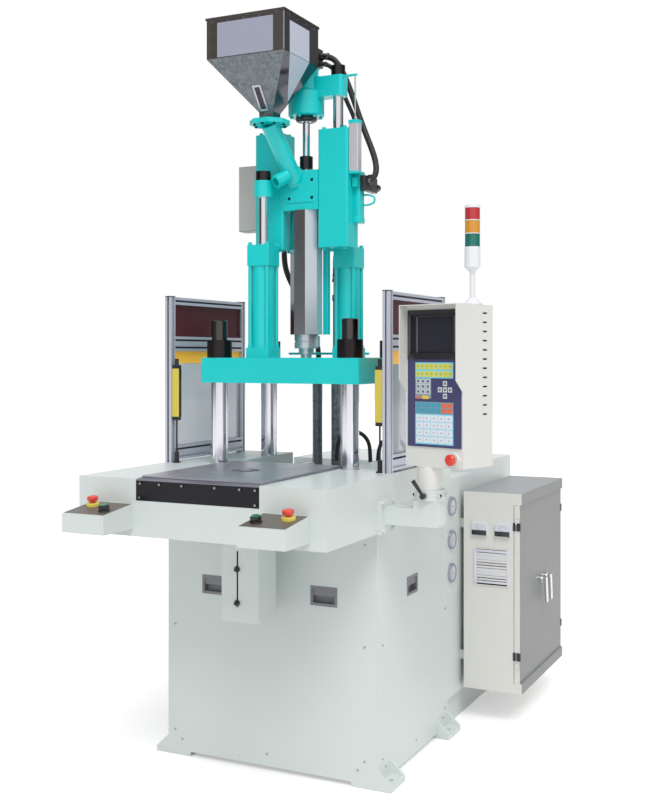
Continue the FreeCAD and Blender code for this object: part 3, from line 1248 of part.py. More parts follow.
def door_handle(end):
    """Chromed lever handle with its rose and shaft; it hangs down when shut."""
    y = sum(CABINET_Y) / 2 + end * DOOR_HANDLE_INSET
    face = DOOR_X[1] + GAP
    shaft = bar_along((DOOR_X[0] + 4, y, DOOR_HANDLE_Z), (1, 0, 0), face - DOOR_X[0] - 4, HANDLE_SHAFT)
    rose = bar_along((face, y, DOOR_HANDLE_Z), (1, 0, 0), 14, 30)
    neck = bar_along((face + 14, y, DOOR_HANDLE_Z), (1, 0, 0), 22, 18)
    x = face + 28
    lever = plate_xz([(x - 7, DOOR_HANDLE_Z + 12), (x + 8, DOOR_HANDLE_Z + 12),
                      (x + 12, DOOR_HANDLE_Z - LEVER_LENGTH),
                      (x + 2, DOOR_HANDLE_Z - LEVER_LENGTH)], (y - 11, y + 11))
    lever = lever.makeFillet(3, lever.Edges)
    return joined(shaft, rose, neck, lever)


def cabinet_doors():
    """Both doors and their handles."""
    for end, name in ((-1, "front"), (1, "rear")):
        save("cabinet_door_" + name, cabinet_door(end))
        save("door_handle_" + name, door_handle(end))


# ---------------------------------------------------------------- injection carriage
def carriage_cylinders():
    """Tie-rod cylinders on the upper platen that lift the injection unit."""
    pieces = []
    foot_z = (UPPER_PLATEN_TOP, UPPER_PLATEN_TOP + CYLINDER_FOOT_HEIGHT)
    for x, y in CARRIAGE_CYLINDERS:
        foot_block = block(grown((x, x), CYLINDER_FOOT / 2), grown((y, y), CYLINDER_FOOT / 2), foot_z)
        tube = bar(x, y, (foot_z[1], CYLINDER_HEAD_Z[0]), CYLINDER_TUBE)
        head = block(grown((x, x), CYLINDER_HEAD / 2), grown((y, y), CYLINDER_HEAD / 2), CYLINDER_HEAD_Z)
        head = head.makeChamfer(3, upright_edges(head))
        ties = []
        for dx in (-CYLINDER_TIE_OFFSET, CYLINDER_TIE_OFFSET):
            for dy in (-CYLINDER_TIE_OFFSET, CYLINDER_TIE_OFFSET):
                ties.append(bar(x + dx, y + dy, (foot_z[1], CYLINDER_HEAD_Z[0]), CYLINDER_TIE))
                ties.append(hexagon(x + dx, y + dy, (CYLINDER_HEAD_Z[1], CYLINDER_HEAD_Z[1] + 11), 16))
                ties.append(hexagon(x + dx, y + dy, (foot_z[1], foot_z[1] + 12), 20))
        body = joined(foot_block, tube, head, *ties)
        hollow = bar(x, y, (foot_z[1] - 5, CYLINDER_HEAD_Z[0] + 20), CYLINDER_BORE)
        gland = bar(x, y, (CYLINDER_HEAD_Z[0], CYLINDER_HEAD_Z[1] + 1), CARRIAGE_ROD + 2 * FIT)
        pieces.append(cut(body, hollow, gland))
    pipe = bar_along((-CYLINDER_PIPE_REACH, CYLINDER_PIPE_Y, CYLINDER_PIPE_Z), (1, 0, 0),
                     2 * CYLINDER_PIPE_REACH, 10)
    clips = [block(grown((x, x), 8), grown((CYLINDER_PIPE_Y, CYLINDER_PIPE_Y), 9),
                   (UPPER_PLATEN_TOP, CYLINDER_PIPE_Z)) for x in (-120, 120)]
    save("carriage_cylinders", *pieces, joined(pipe, *clips))


def carriage_rods():
    """Piston rods that stand in the carriage cylinders and hold the unit by its ears."""
    pieces = []
    for x, y in CARRIAGE_CYLINDERS:
        rod = bar(x, y, (CARRIAGE_PISTON_Z[1], EAR_NUT_TOP - 6), CARRIAGE_ROD)
        piston = bar(x, y, CARRIAGE_PISTON_Z, CYLINDER_BORE - 2 * FIT)
        nut = bar(x, y, (EAR_Z[1], EAR_NUT_TOP), EAR_NUT)
        pieces.append(joined(rod, piston, nut))
    save("carriage_rods", *pieces)


def injection_cylinders():
    """Block cylinders with capped ends and bolts; each holds an ear for a carriage rod."""
    pieces = []
    centre_x = sum(BLOCK_X) / 2
    for side, (ear_x, ear_y) in zip((-1, 1), CARRIAGE_CYLINDERS):
        x_range = (side * BLOCK_X[0], side * BLOCK_X[1])
        body = block(x_range, BLOCK_Y, BLOCK_Z)
        body = body.makeChamfer(BLOCK_CHAMFER, upright_edges(body))
        bolts = []
        for dx in (-46, 46):
            for dy in (-36, 36):
                x = side * centre_x + dx
                y = sum(BLOCK_Y) / 2 + dy
                bolts.append(bar(x, y, (BLOCK_Z[0] - 10, BLOCK_Z[0]), BLOCK_BOLT))
                bolts.append(bar(x, y, (BLOCK_Z[1], BLOCK_Z[1] + 10), BLOCK_BOLT))
        ear = bar(ear_x, ear_y, EAR_Z, EAR_DIAMETER)
        near_y = BLOCK_Y[0] if ear_y < BLOCK_Y[0] else BLOCK_Y[1]
        neck = block(grown((ear_x, ear_x), EAR_NECK / 2), (near_y, ear_y), grown(EAR_Z, -6))
        body = joined(body, *bolts, ear, neck)
        hollow = bar(side * INJECTION_X, INJECTION_Y, grown(BLOCK_Z, -BLOCK_CAP), INJECTION_BORE)
        gland = bar(side * INJECTION_X, INJECTION_Y, (BLOCK_Z[1] - BLOCK_CAP - 1, BLOCK_Z[1] + 1),
                    INJECTION_ROD + 2 * FIT)
        hole = bar(ear_x, ear_y, grown(EAR_Z, 1), CARRIAGE_ROD + 2 * HOLE_PLAY)
        pieces.append(cut(body, hollow, gland, hole))
    save("injection_cylinders", *pieces)


def feed_block():
    """Feed block between the injection cylinders, bored for barrel and screw."""
    body = block((-BLOCK_X[0], BLOCK_X[0]), BLOCK_Y, FEED_Z)
    hanger = block(COVER_BRACKET, [INJECTION_Y + behind for behind in HANGER_BEHIND], (COVER_Z[0], FEED_Z[0]))
    half, above, height, depth = FEED_GROOVE
    groove = block((-half, half), (BLOCK_Y[0] - 1, BLOCK_Y[0] + depth),
                   (FEED_Z[0] + above, FEED_Z[0] + above + height))
    tools = [bar(0, INJECTION_Y, (FEED_Z[0] - 1, BARREL_Z[1]), BARREL_DIAMETER + 2 * HOLE_PLAY),
             bar(0, INJECTION_Y, (BARREL_Z[1] - 1, FEED_Z[1] + 1), SCREW_SHAFT + 10), groove]
    screw_x, from_bottom, from_top = FEED_SCREW
    for x in (-screw_x, screw_x):
        for z in (FEED_Z[0] + from_bottom, FEED_Z[1] - from_top):
            tools.append(bar_along((x, BLOCK_Y[0] - 1, z), (0, 1, 0), FEED_SCREW_HOLE[1] + 1,
                                   FEED_SCREW_HOLE[0]))
    feed_throat = bar_along(CHUTE_END, (-CHUTE_END[0], INJECTION_Y - CHUTE_END[1], -52), 60, CHUTE_BORE / 2)
    save("feed_block", cut(joined(body, hanger), *tools, feed_throat))


def barrel():
    """Heated barrel that hangs from the feed block, with its feed hole."""
    body = bar(0, INJECTION_Y, BARREL_Z, BARREL_DIAMETER)
    bore = bar(0, INJECTION_Y, grown(BARREL_Z, 1), BARREL_BORE)
    throat = bar_along((0, INJECTION_Y, 2280), (0, -1, 0), BARREL_DIAMETER, CHUTE_BORE / 2)
    save("barrel", cut(body, bore, throat))


def barrel_cover():
    """Eight-sided folded cover round the barrel."""
    height = COVER_Z[1] - COVER_Z[0]
    outer = octagon_face(0, INJECTION_Y, COVER_Z[0], COVER_ACROSS).extrude(V(0, 0, height))
    inner = octagon_face(0, INJECTION_Y, COVER_Z[0] - 1, COVER_ACROSS - 2 * BARREL_COVER_SHEET)
    save("barrel_cover", outer.cut(inner.extrude(V(0, 0, height + 2))))


def nozzle():
    """Nozzle head with its heater band and the tip that seats in the platen's sprue bore."""
    radius = HEATER_DIAMETER / 2
    tip = NOZZLE_DIAMETER / 2
    collar = NOZZLE_COLLAR_DIAMETER / 2
    low, high = HEATER_Z
    profile = [(5, BARREL_Z[0]), (5, NOZZLE_TIP_Z), (9, NOZZLE_TIP_Z), (tip, NOZZLE_TIP_Z + 22),
               (tip, NOZZLE_COLLAR_Z), (collar, NOZZLE_COLLAR_Z + 2), (collar, low),
               (radius, low), (radius, low + 24), (radius - 3, low + 26), (radius - 3, low + 30),
               (radius, low + 32), (radius, high), (radius - 8, high), (radius - 8, BARREL_Z[0])]
    lug = block((radius - 4, radius + 10), grown((INJECTION_Y, INJECTION_Y), 8), (low + 6, high - 6))
    save("nozzle", joined(turned(0, INJECTION_Y, profile), lug))


def feed_chute():
    """Slanted feed pipe with its eight-sided hopper flange, wall flange and drain spout."""
    start = V(OUTLET_X, OUTLET_Y, CHUTE_FLANGE_Z[0] + 4)
    end = V(*CHUTE_END)
    along = end - start
    pipe = Part.makeCylinder(CHUTE_DIAMETER / 2, along.Length + 40, start, along)
    above_flange = bar(OUTLET_X, OUTLET_Y, (CHUTE_FLANGE_Z[1], CHUTE_FLANGE_Z[1] + CHUTE_DIAMETER),
                       CHUTE_FLANGE_ACROSS)
    drain_start = V(CHUTE_END[0] - 6, BLOCK_Y[0] - 34, CHUTE_END[2] - 6)
    drain_axis = V(-0.42, -0.72, -0.45)
    drain = Part.makeCylinder(27, 62, drain_start, drain_axis)
    wall_flange = bar_along((CHUTE_END[0], BLOCK_Y[0], CHUTE_END[2]), (0, -1, 0), 14, 92)
    flange = octagon_face(OUTLET_X, OUTLET_Y, CHUTE_FLANGE_Z[0], CHUTE_FLANGE_ACROSS)
    flange = flange.extrude(V(0, 0, CHUTE_FLANGE_Z[1] - CHUTE_FLANGE_Z[0]))
    behind_wall = block((-300, 300), (BLOCK_Y[0], 300), (2000, 2900))
    body = cut(joined(pipe, drain, wall_flange), behind_wall, above_flange)
    inner = Part.makeCylinder(CHUTE_BORE / 2 - 2, along.Length, start, along)
    mouth = bar(OUTLET_X, OUTLET_Y, (CHUTE_FLANGE_Z[0] + 2, CHUTE_FLANGE_Z[1] + 1), CHUTE_BORE)
    drain_bore = Part.makeCylinder(17, 80, drain_start, drain_axis)
    save("feed_chute", cut(joined(body, flange), inner, mouth, drain_bore))


def rectangle(x_range, y_range, z):
    """The corners of a horizontal rectangle, in turn."""
    return [V(x_range[0], y_range[0], z), V(x_range[1], y_range[0], z), V(x_range[1], y_range[1], z),
            V(x_range[0], y_range[1], z)]


def funnel_between(upper, lower):
    """A four-sided funnel body with flat sides between two rectangles."""
    outlines = [upper, lower]
    for index in range(4):
        after = (index + 1) % 4
        outlines.append([upper[index], upper[after], lower[after], lower[index]])
    faces = [Part.Face(Part.makePolygon(outline + outline[:1])) for outline in outlines]
    body = Part.Solid(Part.Shell(faces))
    if body.Volume < 0:
        body.reverse()
    return body


def hopper_form(shrink, top, bottom):
    """The hopper's outer form, or its inside when shrunk by the sheet's thickness."""
    rim = (grown(RIM_X_RANGE, -shrink), grown(RIM_Y_RANGE, -shrink))
    neck = OUTLET_SIZE / 2 - shrink
    outlet = (grown((OUTLET_X, OUTLET_X), neck), grown((OUTLET_Y, OUTLET_Y), neck))
    straight = block(rim[0], rim[1], (HOPPER_SHOULDER, top))
    funnel = funnel_between(rectangle(rim[0], rim[1], HOPPER_SHOULDER),
                            rectangle(outlet[0], outlet[1], OUTLET_Z))
    spout = block(outlet[0], outlet[1], (bottom, OUTLET_Z))
    return joined(straight, funnel, spout)


def hopper():
    """Folded sheet hopper: upright rim, skewed pyramid, square outlet and sight slot."""
    outer = hopper_form(0, HOPPER_TOP, CHUTE_FLANGE_Z[1])
    inner = hopper_form(HOPPER_SHEET, HOPPER_TOP + 1, CHUTE_FLANGE_Z[1] - 1)
    lip = block(grown(RIM_X_RANGE, HOPPER_LIP), grown(RIM_Y_RANGE, HOPPER_LIP),
                (HOPPER_TOP - HOPPER_LIP_HEIGHT, HOPPER_TOP))
    lean = math.atan2(OUTLET_Y - OUTLET_SIZE / 2 - RIM_Y_RANGE[0], HOPPER_SHOULDER - OUTLET_Z)
    middle_z = (HOPPER_SHOULDER + OUTLET_Z) / 2 - SIGHT_BELOW_MIDDLE
    middle_y = RIM_Y_RANGE[0] + (HOPPER_SHOULDER - middle_z) * math.tan(lean)
    slot = block(grown((0, 0), SIGHT_WIDTH / 2), (-12, 12), grown((0, 0), SIGHT_LENGTH / 2))
    slot = turned_about(slot, (0, 0, 0), Y_AXIS, -14)
    slot = moved(turned_about(slot, (0, 0, 0), X_AXIS, math.degrees(lean)), OUTLET_X - SIGHT_OFFSET,
                 middle_y, middle_z)
    save("hopper", cut(joined(outer, lip), inner, slot))


def transducer():
    """Stroke transducer body on the right cylinder block."""
    x_range = (BLOCK_X[1], BLOCK_X[1] + TRANSDUCER)
    y_range = grown((INJECTION_Y - 20, INJECTION_Y - 20), TRANSDUCER / 2)
    body = block(x_range, y_range, TRANSDUCER_Z)
    body = body.makeFillet(4, upright_edges(body))
    bore = bar(sum(x_range) / 2, sum(y_range) / 2, (TRANSDUCER_Z[0] + 10, TRANSDUCER_Z[1] + 1),
               TRANSDUCER_ROD + 2 * FIT)
    save("transducer", body.cut(bore))


def junction_box():
    """Sheet junction box on the left cylinder block."""
    body = block((-BLOCK_X[1] - JUNCTION_DEPTH, -BLOCK_X[1]), JUNCTION_Y, JUNCTION_Z)
    lid = block((-BLOCK_X[1] - JUNCTION_DEPTH + 3, -BLOCK_X[1] - 3), (JUNCTION_Y[0] - 3, JUNCTION_Y[0]),
                grown(JUNCTION_Z, -3))
    save("junction_box", joined(body, lid))


# ---------------------------------------------------------------- injection drive
def injection_crosshead():
    """Cast crosshead: bearing drum in the middle and an arm to each piston rod."""
    drum = turned(0, INJECTION_Y, [(SCREW_SHAFT / 2 + 6, DRUM_Z[0]), (DRUM_DIAMETER / 2 - 4, DRUM_Z[0]),
                                   (DRUM_DIAMETER / 2, DRUM_Z[0] + 4), (DRUM_DIAMETER / 2, DRUM_Z[1]),
                                   (DRUM_MIDDLE / 2, DRUM_Z[1] + 10), (DRUM_MIDDLE / 2, CROSSHEAD_Z[1] + 8),
                                   (DRUM_NECK / 2, CROSSHEAD_Z[1] + 16), (DRUM_NECK / 2, DRUM_TOP),
                                   (SCREW_SHAFT / 2 + 6, DRUM_TOP)])
    reach = INJECTION_X + CROSSHEAD_DEPTH / 2
    arms = block((-reach, reach), grown((INJECTION_Y, INJECTION_Y), CROSSHEAD_DEPTH / 2), CROSSHEAD_Z)
    arms = arms.makeFillet(14, upright_edges(arms))
    bolts = [bar(math.cos(math.radians(60 * turn + 30)) * 60,
                 INJECTION_Y + math.sin(math.radians(60 * turn + 30)) * 60,
                 (DRUM_Z[0] - 8, DRUM_Z[0] + 1), 13) for turn in range(6)]
    tools = [bar(side * INJECTION_X, INJECTION_Y, grown(CROSSHEAD_Z, 1), INJECTION_ROD - 6 + 2 * HOLE_PLAY)
             for side in (-1, 1)]
    tools.append(bar(0, INJECTION_Y, grown((DRUM_Z[0], DRUM_TOP), 1), SCREW_SHAFT + 12))
    pin_x = BLOCK_X[1] + TRANSDUCER / 2
    pin = block((reach - 12, pin_x + 8), grown((INJECTION_Y - 20, INJECTION_Y - 20), 5),
                (TRANSDUCER_PIN_Z - 4, TRANSDUCER_PIN_Z + 4))
    save("injection_crosshead", cut(joined(drum, arms, *bolts, pin), *tools))


def injection_rods():
    """Injection piston rods shouldered in the crosshead, their nuts, and the transducer's rod."""
    pieces = []
    for side in (-1, 1):
        x = side * INJECTION_X
        radius = INJECTION_ROD / 2
        low, high = INJECTION_PISTON_Z
        bore = INJECTION_BORE / 2 - FIT
        top = CROSSHEAD_Z[1] + INJECTION_NUT_HEIGHT
        profile = [(0, low), (bore, low), (bore, high), (radius, high), (radius, CROSSHEAD_Z[0]),
                   (radius - 3, CROSSHEAD_Z[0]), (radius - 3, CROSSHEAD_Z[1]),
                   (INJECTION_NUT / 2, CROSSHEAD_Z[1]),
                   (INJECTION_NUT / 2, top), (0, top)]
        pieces.append(turned(x, INJECTION_Y, profile))
    pieces.append(bar(BLOCK_X[1] + TRANSDUCER / 2, INJECTION_Y - 20,
                      (TRANSDUCER_Z[0] + 20, TRANSDUCER_PIN_Z - 4),
                      TRANSDUCER_ROD))
    save("injection_rods", *pieces)


def hydraulic_motor():
    """Hydraulic motor on the drum: flange, body, port block and hose ports."""
    flange = bar(0, INJECTION_Y, (DRUM_TOP, DRUM_TOP + 10), HYDRAULIC_MOTOR + 18)
    body = bar(0, INJECTION_Y, (DRUM_TOP + 10, HYDRAULIC_MOTOR_TOP), HYDRAULIC_MOTOR)
    ports = block((0, PORT_X), (INJECTION_Y + 16, INJECTION_Y + 62), PORT_Z)
    save("hydraulic_motor", joined(flange, body, ports))


def screw():
    """Plasticising screw: flights in the barrel, plain shaft, coupling and the drum's bearing journal."""
    radius = BARREL_BORE / 2 - FIT
    shaft = SCREW_SHAFT / 2
    root = radius - FLIGHT_DEPTH
    feed_end = COUPLING_Z[0] - 60
    profile = [(0, SCREW_TIP_Z), (root, SCREW_TIP_Z + 30), (root, feed_end - 60), (radius, feed_end - 60),
               (radius, BARREL_Z[1]), (shaft, BARREL_Z[1]), (shaft, COUPLING_Z[0]),
               (SCREW_COUPLING / 2, COUPLING_Z[0]),
               (SCREW_COUPLING / 2, COUPLING_Z[1]), (shaft, COUPLING_Z[1]), (shaft, DRUM_Z[0] - 20),
               (shaft + 5.7, DRUM_Z[0] - 20), (shaft + 5.7, DRUM_TOP - 10), (0, DRUM_TOP - 10)]
    core = turned(0, INJECTION_Y, profile)
    flight_bottom = SCREW_TIP_Z + 36
    turns = int((feed_end - 60 - flight_bottom) / SCREW_PITCH)
    rings = []
    for index in range(turns):
        z = flight_bottom + index * SCREW_PITCH
        rings.append(bar(0, INJECTION_Y, (z, z + 6), 2 * radius))
    save("screw", joined(core, *rings))


# ---------------------------------------------------------------- risers and hoses
def riser_tubes():
    """Two conduits held by a plate behind the upper platen; they dip into the rear housing."""
    plate_z = (UPPER_PLATEN_BOTTOM + 10, UPPER_PLATEN_BOTTOM + 10 + RISER_PLATE_THICKNESS)
    plate = block((RISER_X[0] - 34, RISER_X[1] + 34), (UPPER_PLATEN_REAR_Y, RISER_Y + 34), plate_z)
    tubes = [bar(x, RISER_Y, (RISER_BOTTOM, RISER_TOP), RISER_DIAMETER) for x in RISER_X]
    neck = bar(RISER_X[1], RISER_Y, (RISER_TOP, RISER_NECK_TOP), RISER_NECK)
    fitting = [hexagon(RISER_X[1], RISER_Y, (RISER_NECK_TOP, RISER_NECK_TOP + 26), 36),
               bar(RISER_X[1], RISER_Y, (RISER_NECK_TOP + 26, RISER_FITTING_TOP), 26)]
    save("riser_tubes", joined(plate, *tubes, neck, *fitting))


def hose(points, diameter):
    """A hose along straight runs joined by tangent arcs as large as the runs allow."""
    corners = [V(*point) for point in points]
    edges = []
    here = corners[0]
    radii = []
    for before, corner, after in zip(corners, corners[1:], corners[2:]):
        into = (corner - before).normalize()
        out = (after - corner).normalize()
        turn = math.acos(max(-1, min(1, into.dot(out))))
        shorter = min((corner - before).Length, (after - corner).Length)
        reach = 0.45 * shorter
        radius = reach / math.tan(turn / 2)
        radii.append(round(radius))
        start = corner - into * reach
        end = corner + out * reach
        bisector = (out - into).normalize()
        middle = corner + bisector * (radius / math.cos(turn / 2) - radius)
        edges.append(Part.LineSegment(here, start).toShape())
        edges.append(Part.Arc(start, middle, end).toShape())
        here = end
    edges.append(Part.LineSegment(here, corners[-1]).toShape())
    path = Part.Wire(edges)
    first = (corners[1] - corners[0]).normalize()
    section = Part.Wire([Part.makeCircle(diameter / 2, corners[0], first)])
    tube = path.makePipeShell([section], True, False)
    ideal = math.pi * diameter ** 2 / 4 * path.Length
    print("hose length %.0f, radii %s, volume ratio %.4f" % (path.Length, radii, tube.Volume / ideal))
    return tube


def motor_hoses():
    """Pressure hose from the motor to the valve block, and return hose to the right cylinder block."""
    pressure = [(PORT_X, -18, 2828), (92, -18, 2828), (126, -4, 2788), (150, 8, 2732), (176, 14, 2662),
                (202, 16, 2586), (232, 14, 2510), (262, 8, 2444), (284, 4, 2386), (294, -10, 2334),
                (278, -24, 2300), (VALVE_X[1], -24, 2300)]
    returned = [(PORT_X, -18, 2797), (84, -18, 2797), (108, 0, 2757), (122, 16, 2712), (140, 24, 2656),
                (164, 28, 2604), (184, 34, 2552), (192, 40, 2500), (190, 44, 2450), (186, 44, 2400),
                (186, BLOCK_Y[1], 2400)]
    save("motor_hoses", hose(pressure, HOSE), hose(returned, SMALL_HOSE))


def carriage_hoses():
    """Hoses from the two risers to the backs of the injection cylinder blocks."""
    right = [(RISER_X[1], RISER_Y, RISER_FITTING_TOP), (RISER_X[1], RISER_Y, 1988), (-74, 374, 2032),
             (-36, 306, 2052), (8, 230, 2060), (50, 150, 2072), (86, 78, 2092), (110, 38, 2110),
             (110, BLOCK_Y[1], 2110)]
    left = [(RISER_X[0], RISER_Y, RISER_TOP), (RISER_X[0], RISER_Y, 1610), (-178, 382, 1690),
            (-162, 310, 1752),
            (-148, 228, 1800), (-141, 150, 1850), (-150, 92, 1908), (-163, 62, 1972), (-165, 56, 2042),
            (-160, 56, 2110), (-160, BLOCK_Y[1], 2110)]
    save("carriage_hoses", hose(right, HOSE), hose(left, HOSE))


def deck_hoses():
    """Hoses that arch from the rear housing down to the lower platen behind the table."""
    for_left = [(-50, 335, PLATEN_TOP), (-50, 335, 1216), (-13, 358, 1259), (39, 389, 1259), (75, 412, 1216),
                (80, 414, 1140), (80, 414, HOUSING_TOP)]
    for_right = [(150, 335, PLATEN_TOP), (150, 335, 1198), (182, 352, 1236), (226, 375, 1236),
                 (258, 392, 1198),
                 (262, 394, 1130), (262, 394, HOUSING_TOP)]
    save("deck_hoses", hose(for_left, SMALL_HOSE), hose(for_right, SMALL_HOSE))


def valve_block():
    """Valve manifold on the right cylinder block with its valve body and return pipe."""
    manifold = block(VALVE_X, VALVE_Y, VALVE_Z)
    body = block((VALVE_X[0] + 4, VALVE_X[1] - 4), (VALVE_Y[0] - 22, VALVE_Y[0]),
                 (VALVE_Z[0] + 8, VALVE_Z[0] + 44))
    pipe_y = VALVE_Y[1] - 12
    run = [(VALVE_X[0], pipe_y, 2206), (262, pipe_y, 2206), (288, pipe_y, 2214), (290, pipe_y, 2236),
           (262, pipe_y, 2248), (226, pipe_y, 2246), (226, pipe_y, VALVE_Z[0])]
    save("valve_block", joined(manifold, body), hose(run, PIPE))


def main():
    """Build and write every node."""
    os.makedirs("parts", exist_ok=True)
    for make in (base_frame, base_panels, gauges, oil_tank, rear_housing, pump_motor, lower_platen,
                 clamp_cylinder, pull_plate, tie_bars, tie_bar_nuts, upper_platen, slide_bed, slide_table,
                 table_covers, front_apron, front_cover_plate, ejector_box, ejector_rod, stroke_stop,
                 control_boxes, box_buttons, guard_frames, guard_panes, light_curtains, panel_arm,
                 clamp_lever, control_case, control_face, panel_estop, tower_light, electric_cabinet,
                 cabinet_doors, carriage_cylinders, carriage_rods, injection_cylinders, feed_block, barrel,
                 barrel_cover, nozzle, feed_chute, hopper, transducer, junction_box, injection_crosshead,
                 injection_rods, hydraulic_motor, screw, riser_tubes, valve_block, motor_hoses,
                 carriage_hoses, deck_hoses):
        make()


main()
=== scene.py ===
"""Finishes, fittings, hoses, lamps and camera for a vertical injection moulding machine."""

import json
import math

import bmesh
import bpy
from bpy.props import FloatProperty, FloatVectorProperty, PointerProperty
from mathutils import Matrix, Vector


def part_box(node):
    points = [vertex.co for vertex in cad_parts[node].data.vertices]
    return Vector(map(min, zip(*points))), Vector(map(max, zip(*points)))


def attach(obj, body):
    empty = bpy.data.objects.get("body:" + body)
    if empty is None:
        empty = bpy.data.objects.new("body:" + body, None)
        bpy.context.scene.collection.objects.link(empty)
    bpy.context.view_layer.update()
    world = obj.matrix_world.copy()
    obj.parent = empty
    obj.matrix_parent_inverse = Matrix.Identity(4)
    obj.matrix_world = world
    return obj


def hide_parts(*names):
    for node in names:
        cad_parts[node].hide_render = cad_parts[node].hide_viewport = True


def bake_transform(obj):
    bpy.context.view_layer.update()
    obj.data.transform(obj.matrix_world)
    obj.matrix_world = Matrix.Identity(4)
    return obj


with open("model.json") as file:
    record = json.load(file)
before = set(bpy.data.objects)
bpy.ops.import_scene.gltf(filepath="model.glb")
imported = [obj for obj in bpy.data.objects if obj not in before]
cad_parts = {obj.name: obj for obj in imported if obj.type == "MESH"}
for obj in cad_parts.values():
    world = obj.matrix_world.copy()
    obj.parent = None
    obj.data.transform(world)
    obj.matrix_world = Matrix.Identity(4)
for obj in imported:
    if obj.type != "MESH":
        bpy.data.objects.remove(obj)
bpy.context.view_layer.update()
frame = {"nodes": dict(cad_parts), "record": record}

bl_info = {
    "name": "Vertical moulding machine looks",
    "version": (1, 0, 0),
    "blender": (4, 5, 0),
    "location": "View3D > Sidebar > Machine",
    "description": "Finishes and fittings for a vertical injection moulding machine",
    "category": "Object",
}

X_AXIS = Vector((1, 0, 0))
Y_AXIS = Vector((0, 1, 0))
Z_AXIS = Vector((0, 0, 1))
FORWARD = Vector((0, -1, 0))
DOWN = Vector((0, 0, -1))

# The control panel's own frame: its middle on the floor plan, and its turn about the upright.
PANEL_PLACE = Matrix.Translation((0.726, -0.352, 0)) @ Matrix.Rotation(math.radians(-17), 4, "Z")
PANEL_FRONT = -0.089
PANEL_FACE = PANEL_FRONT - 0.004

# The control boxes' sloping tops.
BOX_FRONT_Y = -1.060
BOX_REAR_Y = -0.890
BOX_FRONT_TOP = 1.052
BOX_REAR_TOP = 1.073
BOX_SLOPE = math.atan2(BOX_REAR_TOP - BOX_FRONT_TOP, BOX_REAR_Y - BOX_FRONT_Y)
BOX_X = (0.262, 0.440)
# Buttons on the right box, mirrored on the left one, and the height at which a start button's cap begins.
STOP_AT = (0.392, -0.948)
START_AT = (0.302, -1.003)
START_CAP = 0.0225

# Outer faces of the base, of the black plate before the table and of the electric cabinet.
BASE_FRONT = -0.382
BASE_SIDE = 0.457
PLATE_FRONT = -0.895
CABINET_FRONT = 0.521

# Recessed pulls of the base's panels.
PULL_Z = (0.656, 0.732)
PULL_FRONT_X = 0.24
PULL_SIDE_Y = -0.031
PULL_HALF = 0.0565

# Gauges on the base's right side and meters on the cabinet's front.
GAUGE_DIAL_X = BASE_SIDE + 0.002 + 0.010
GAUGE_Y = 0.412
GAUGE_HEIGHTS = (0.663, 0.806, 0.949)
METER_FRONT = CABINET_FRONT - 0.012
METER_X = (0.554, 0.658)
METER_Z = 0.844

# Guards: the posts' middle, their slots, their caps, the yellow band and the foot of the upper pane.
GUARD_X = 0.480
SLOT_BOTTOM = 1.2
SLOT_TOP = 1.835
CAP_BOTTOM = 1.8359
BAND_BOTTOM = 1.566
BAND_TOP = 1.62
UPPER_PANE = 1.64

# Heights between which the light curtains are yellow, and those of the tower light's lenses.
CURTAIN_Z = (1.3502, 1.5448)
TOWER_LENSES = (("lens green", 1.982, 2.027), ("lens amber", 2.030, 2.074), ("lens red", 2.077, 2.119))

# Where the rods turn into their threaded ends, and the coupling on the screw's shaft.
TIE_BAR_END = 1.55
CARRIAGE_ROD_END = 2.3055
INJECTION_ROD_END = 2.7295
COUPLING = (2.36, 2.416)

# Hopper: its outlet's middle, the shoulder between walls and funnel, and the walls' faces and heights.
OUTLET = (-0.070, -0.240)
HOPPER_SHOULDER = 2.755
HOPPER_FRONT = -0.4216
HOPPER_RIGHT = 0.0916
HOPPER_WALL = (2.757, 2.905)
FLANGE_BOLTS = 0.063

# The panel arm's collar.
ARM_COLLAR = Vector((0.668, -0.392, 1.102))


def srgb(red, green, blue):
    """A linear colour from 0-255 display values."""
    linear = []
    for value in (red, green, blue):
        part = value / 255
        linear.append(part / 12.92 if part <= 0.04045 else ((part + 0.055) / 1.055) ** 2.4)
    return (*linear, 1.0)


def colour_property(name, description, red, green, blue):
    """A colour a user can change, given by its display values."""
    return FloatVectorProperty(name=name, description=description, subtype="COLOR", size=4, min=0, max=1,
                               default=srgb(red, green, blue))


class MachineColours(bpy.types.PropertyGroup):
    """Colours of the machine's paints and plastics."""

    body: colour_property("Body", "Paint of the base, covers and boxes", 213, 221, 219)
    cabinet: colour_property("Cabinet", "Paint of the electric cabinet", 222, 221, 216)
    # Painted shade: a darker copy of the cabinet paint, used on the right-facing sides of the doors and the
    # cabinet.
    doors: colour_property("Doors", "Paint of the cabinet doors", 131, 132, 132)
    housing: colour_property("Housing", "Paint of the control panel housing", 227, 227, 223)
    turquoise: colour_property("Turquoise", "Paint of the platens and cylinders", 8, 209, 209)
    black: colour_property("Black", "Black paint and blackened steel", 38, 38, 42)
    maroon: colour_property("Maroon", "Tinted upper panes of the guards", 84, 32, 42)
    band: colour_property("Band", "Band along the guards", 252, 190, 62)
    curtain: colour_property("Light curtain", "Cases of the light curtains", 216, 198, 80)
    keypad: colour_property("Keypad", "Membrane of the control panel", 62, 62, 108)
    stop: colour_property("Stop", "Emergency stop heads", 226, 62, 46)
    start: colour_property("Start", "Start button caps", 20, 140, 100)


class MachineSizes(bpy.types.PropertyGroup):
    """Sizes of the small fittings."""

    panel_screw: FloatProperty(name="Panel screw", description="Head diameter of the sheet panel screws",
                               default=0.009, unit="LENGTH", min=0.004, max=0.02)
    socket_screw: FloatProperty(name="Socket screw", description="Head diameter of the socket screws",
                                default=0.0136, unit="LENGTH", min=0.006, max=0.04)
    key_gap: FloatProperty(name="Key gap", description="Gap between the panel's keys",
                           default=0.0022, unit="LENGTH", min=0.0005, max=0.01)


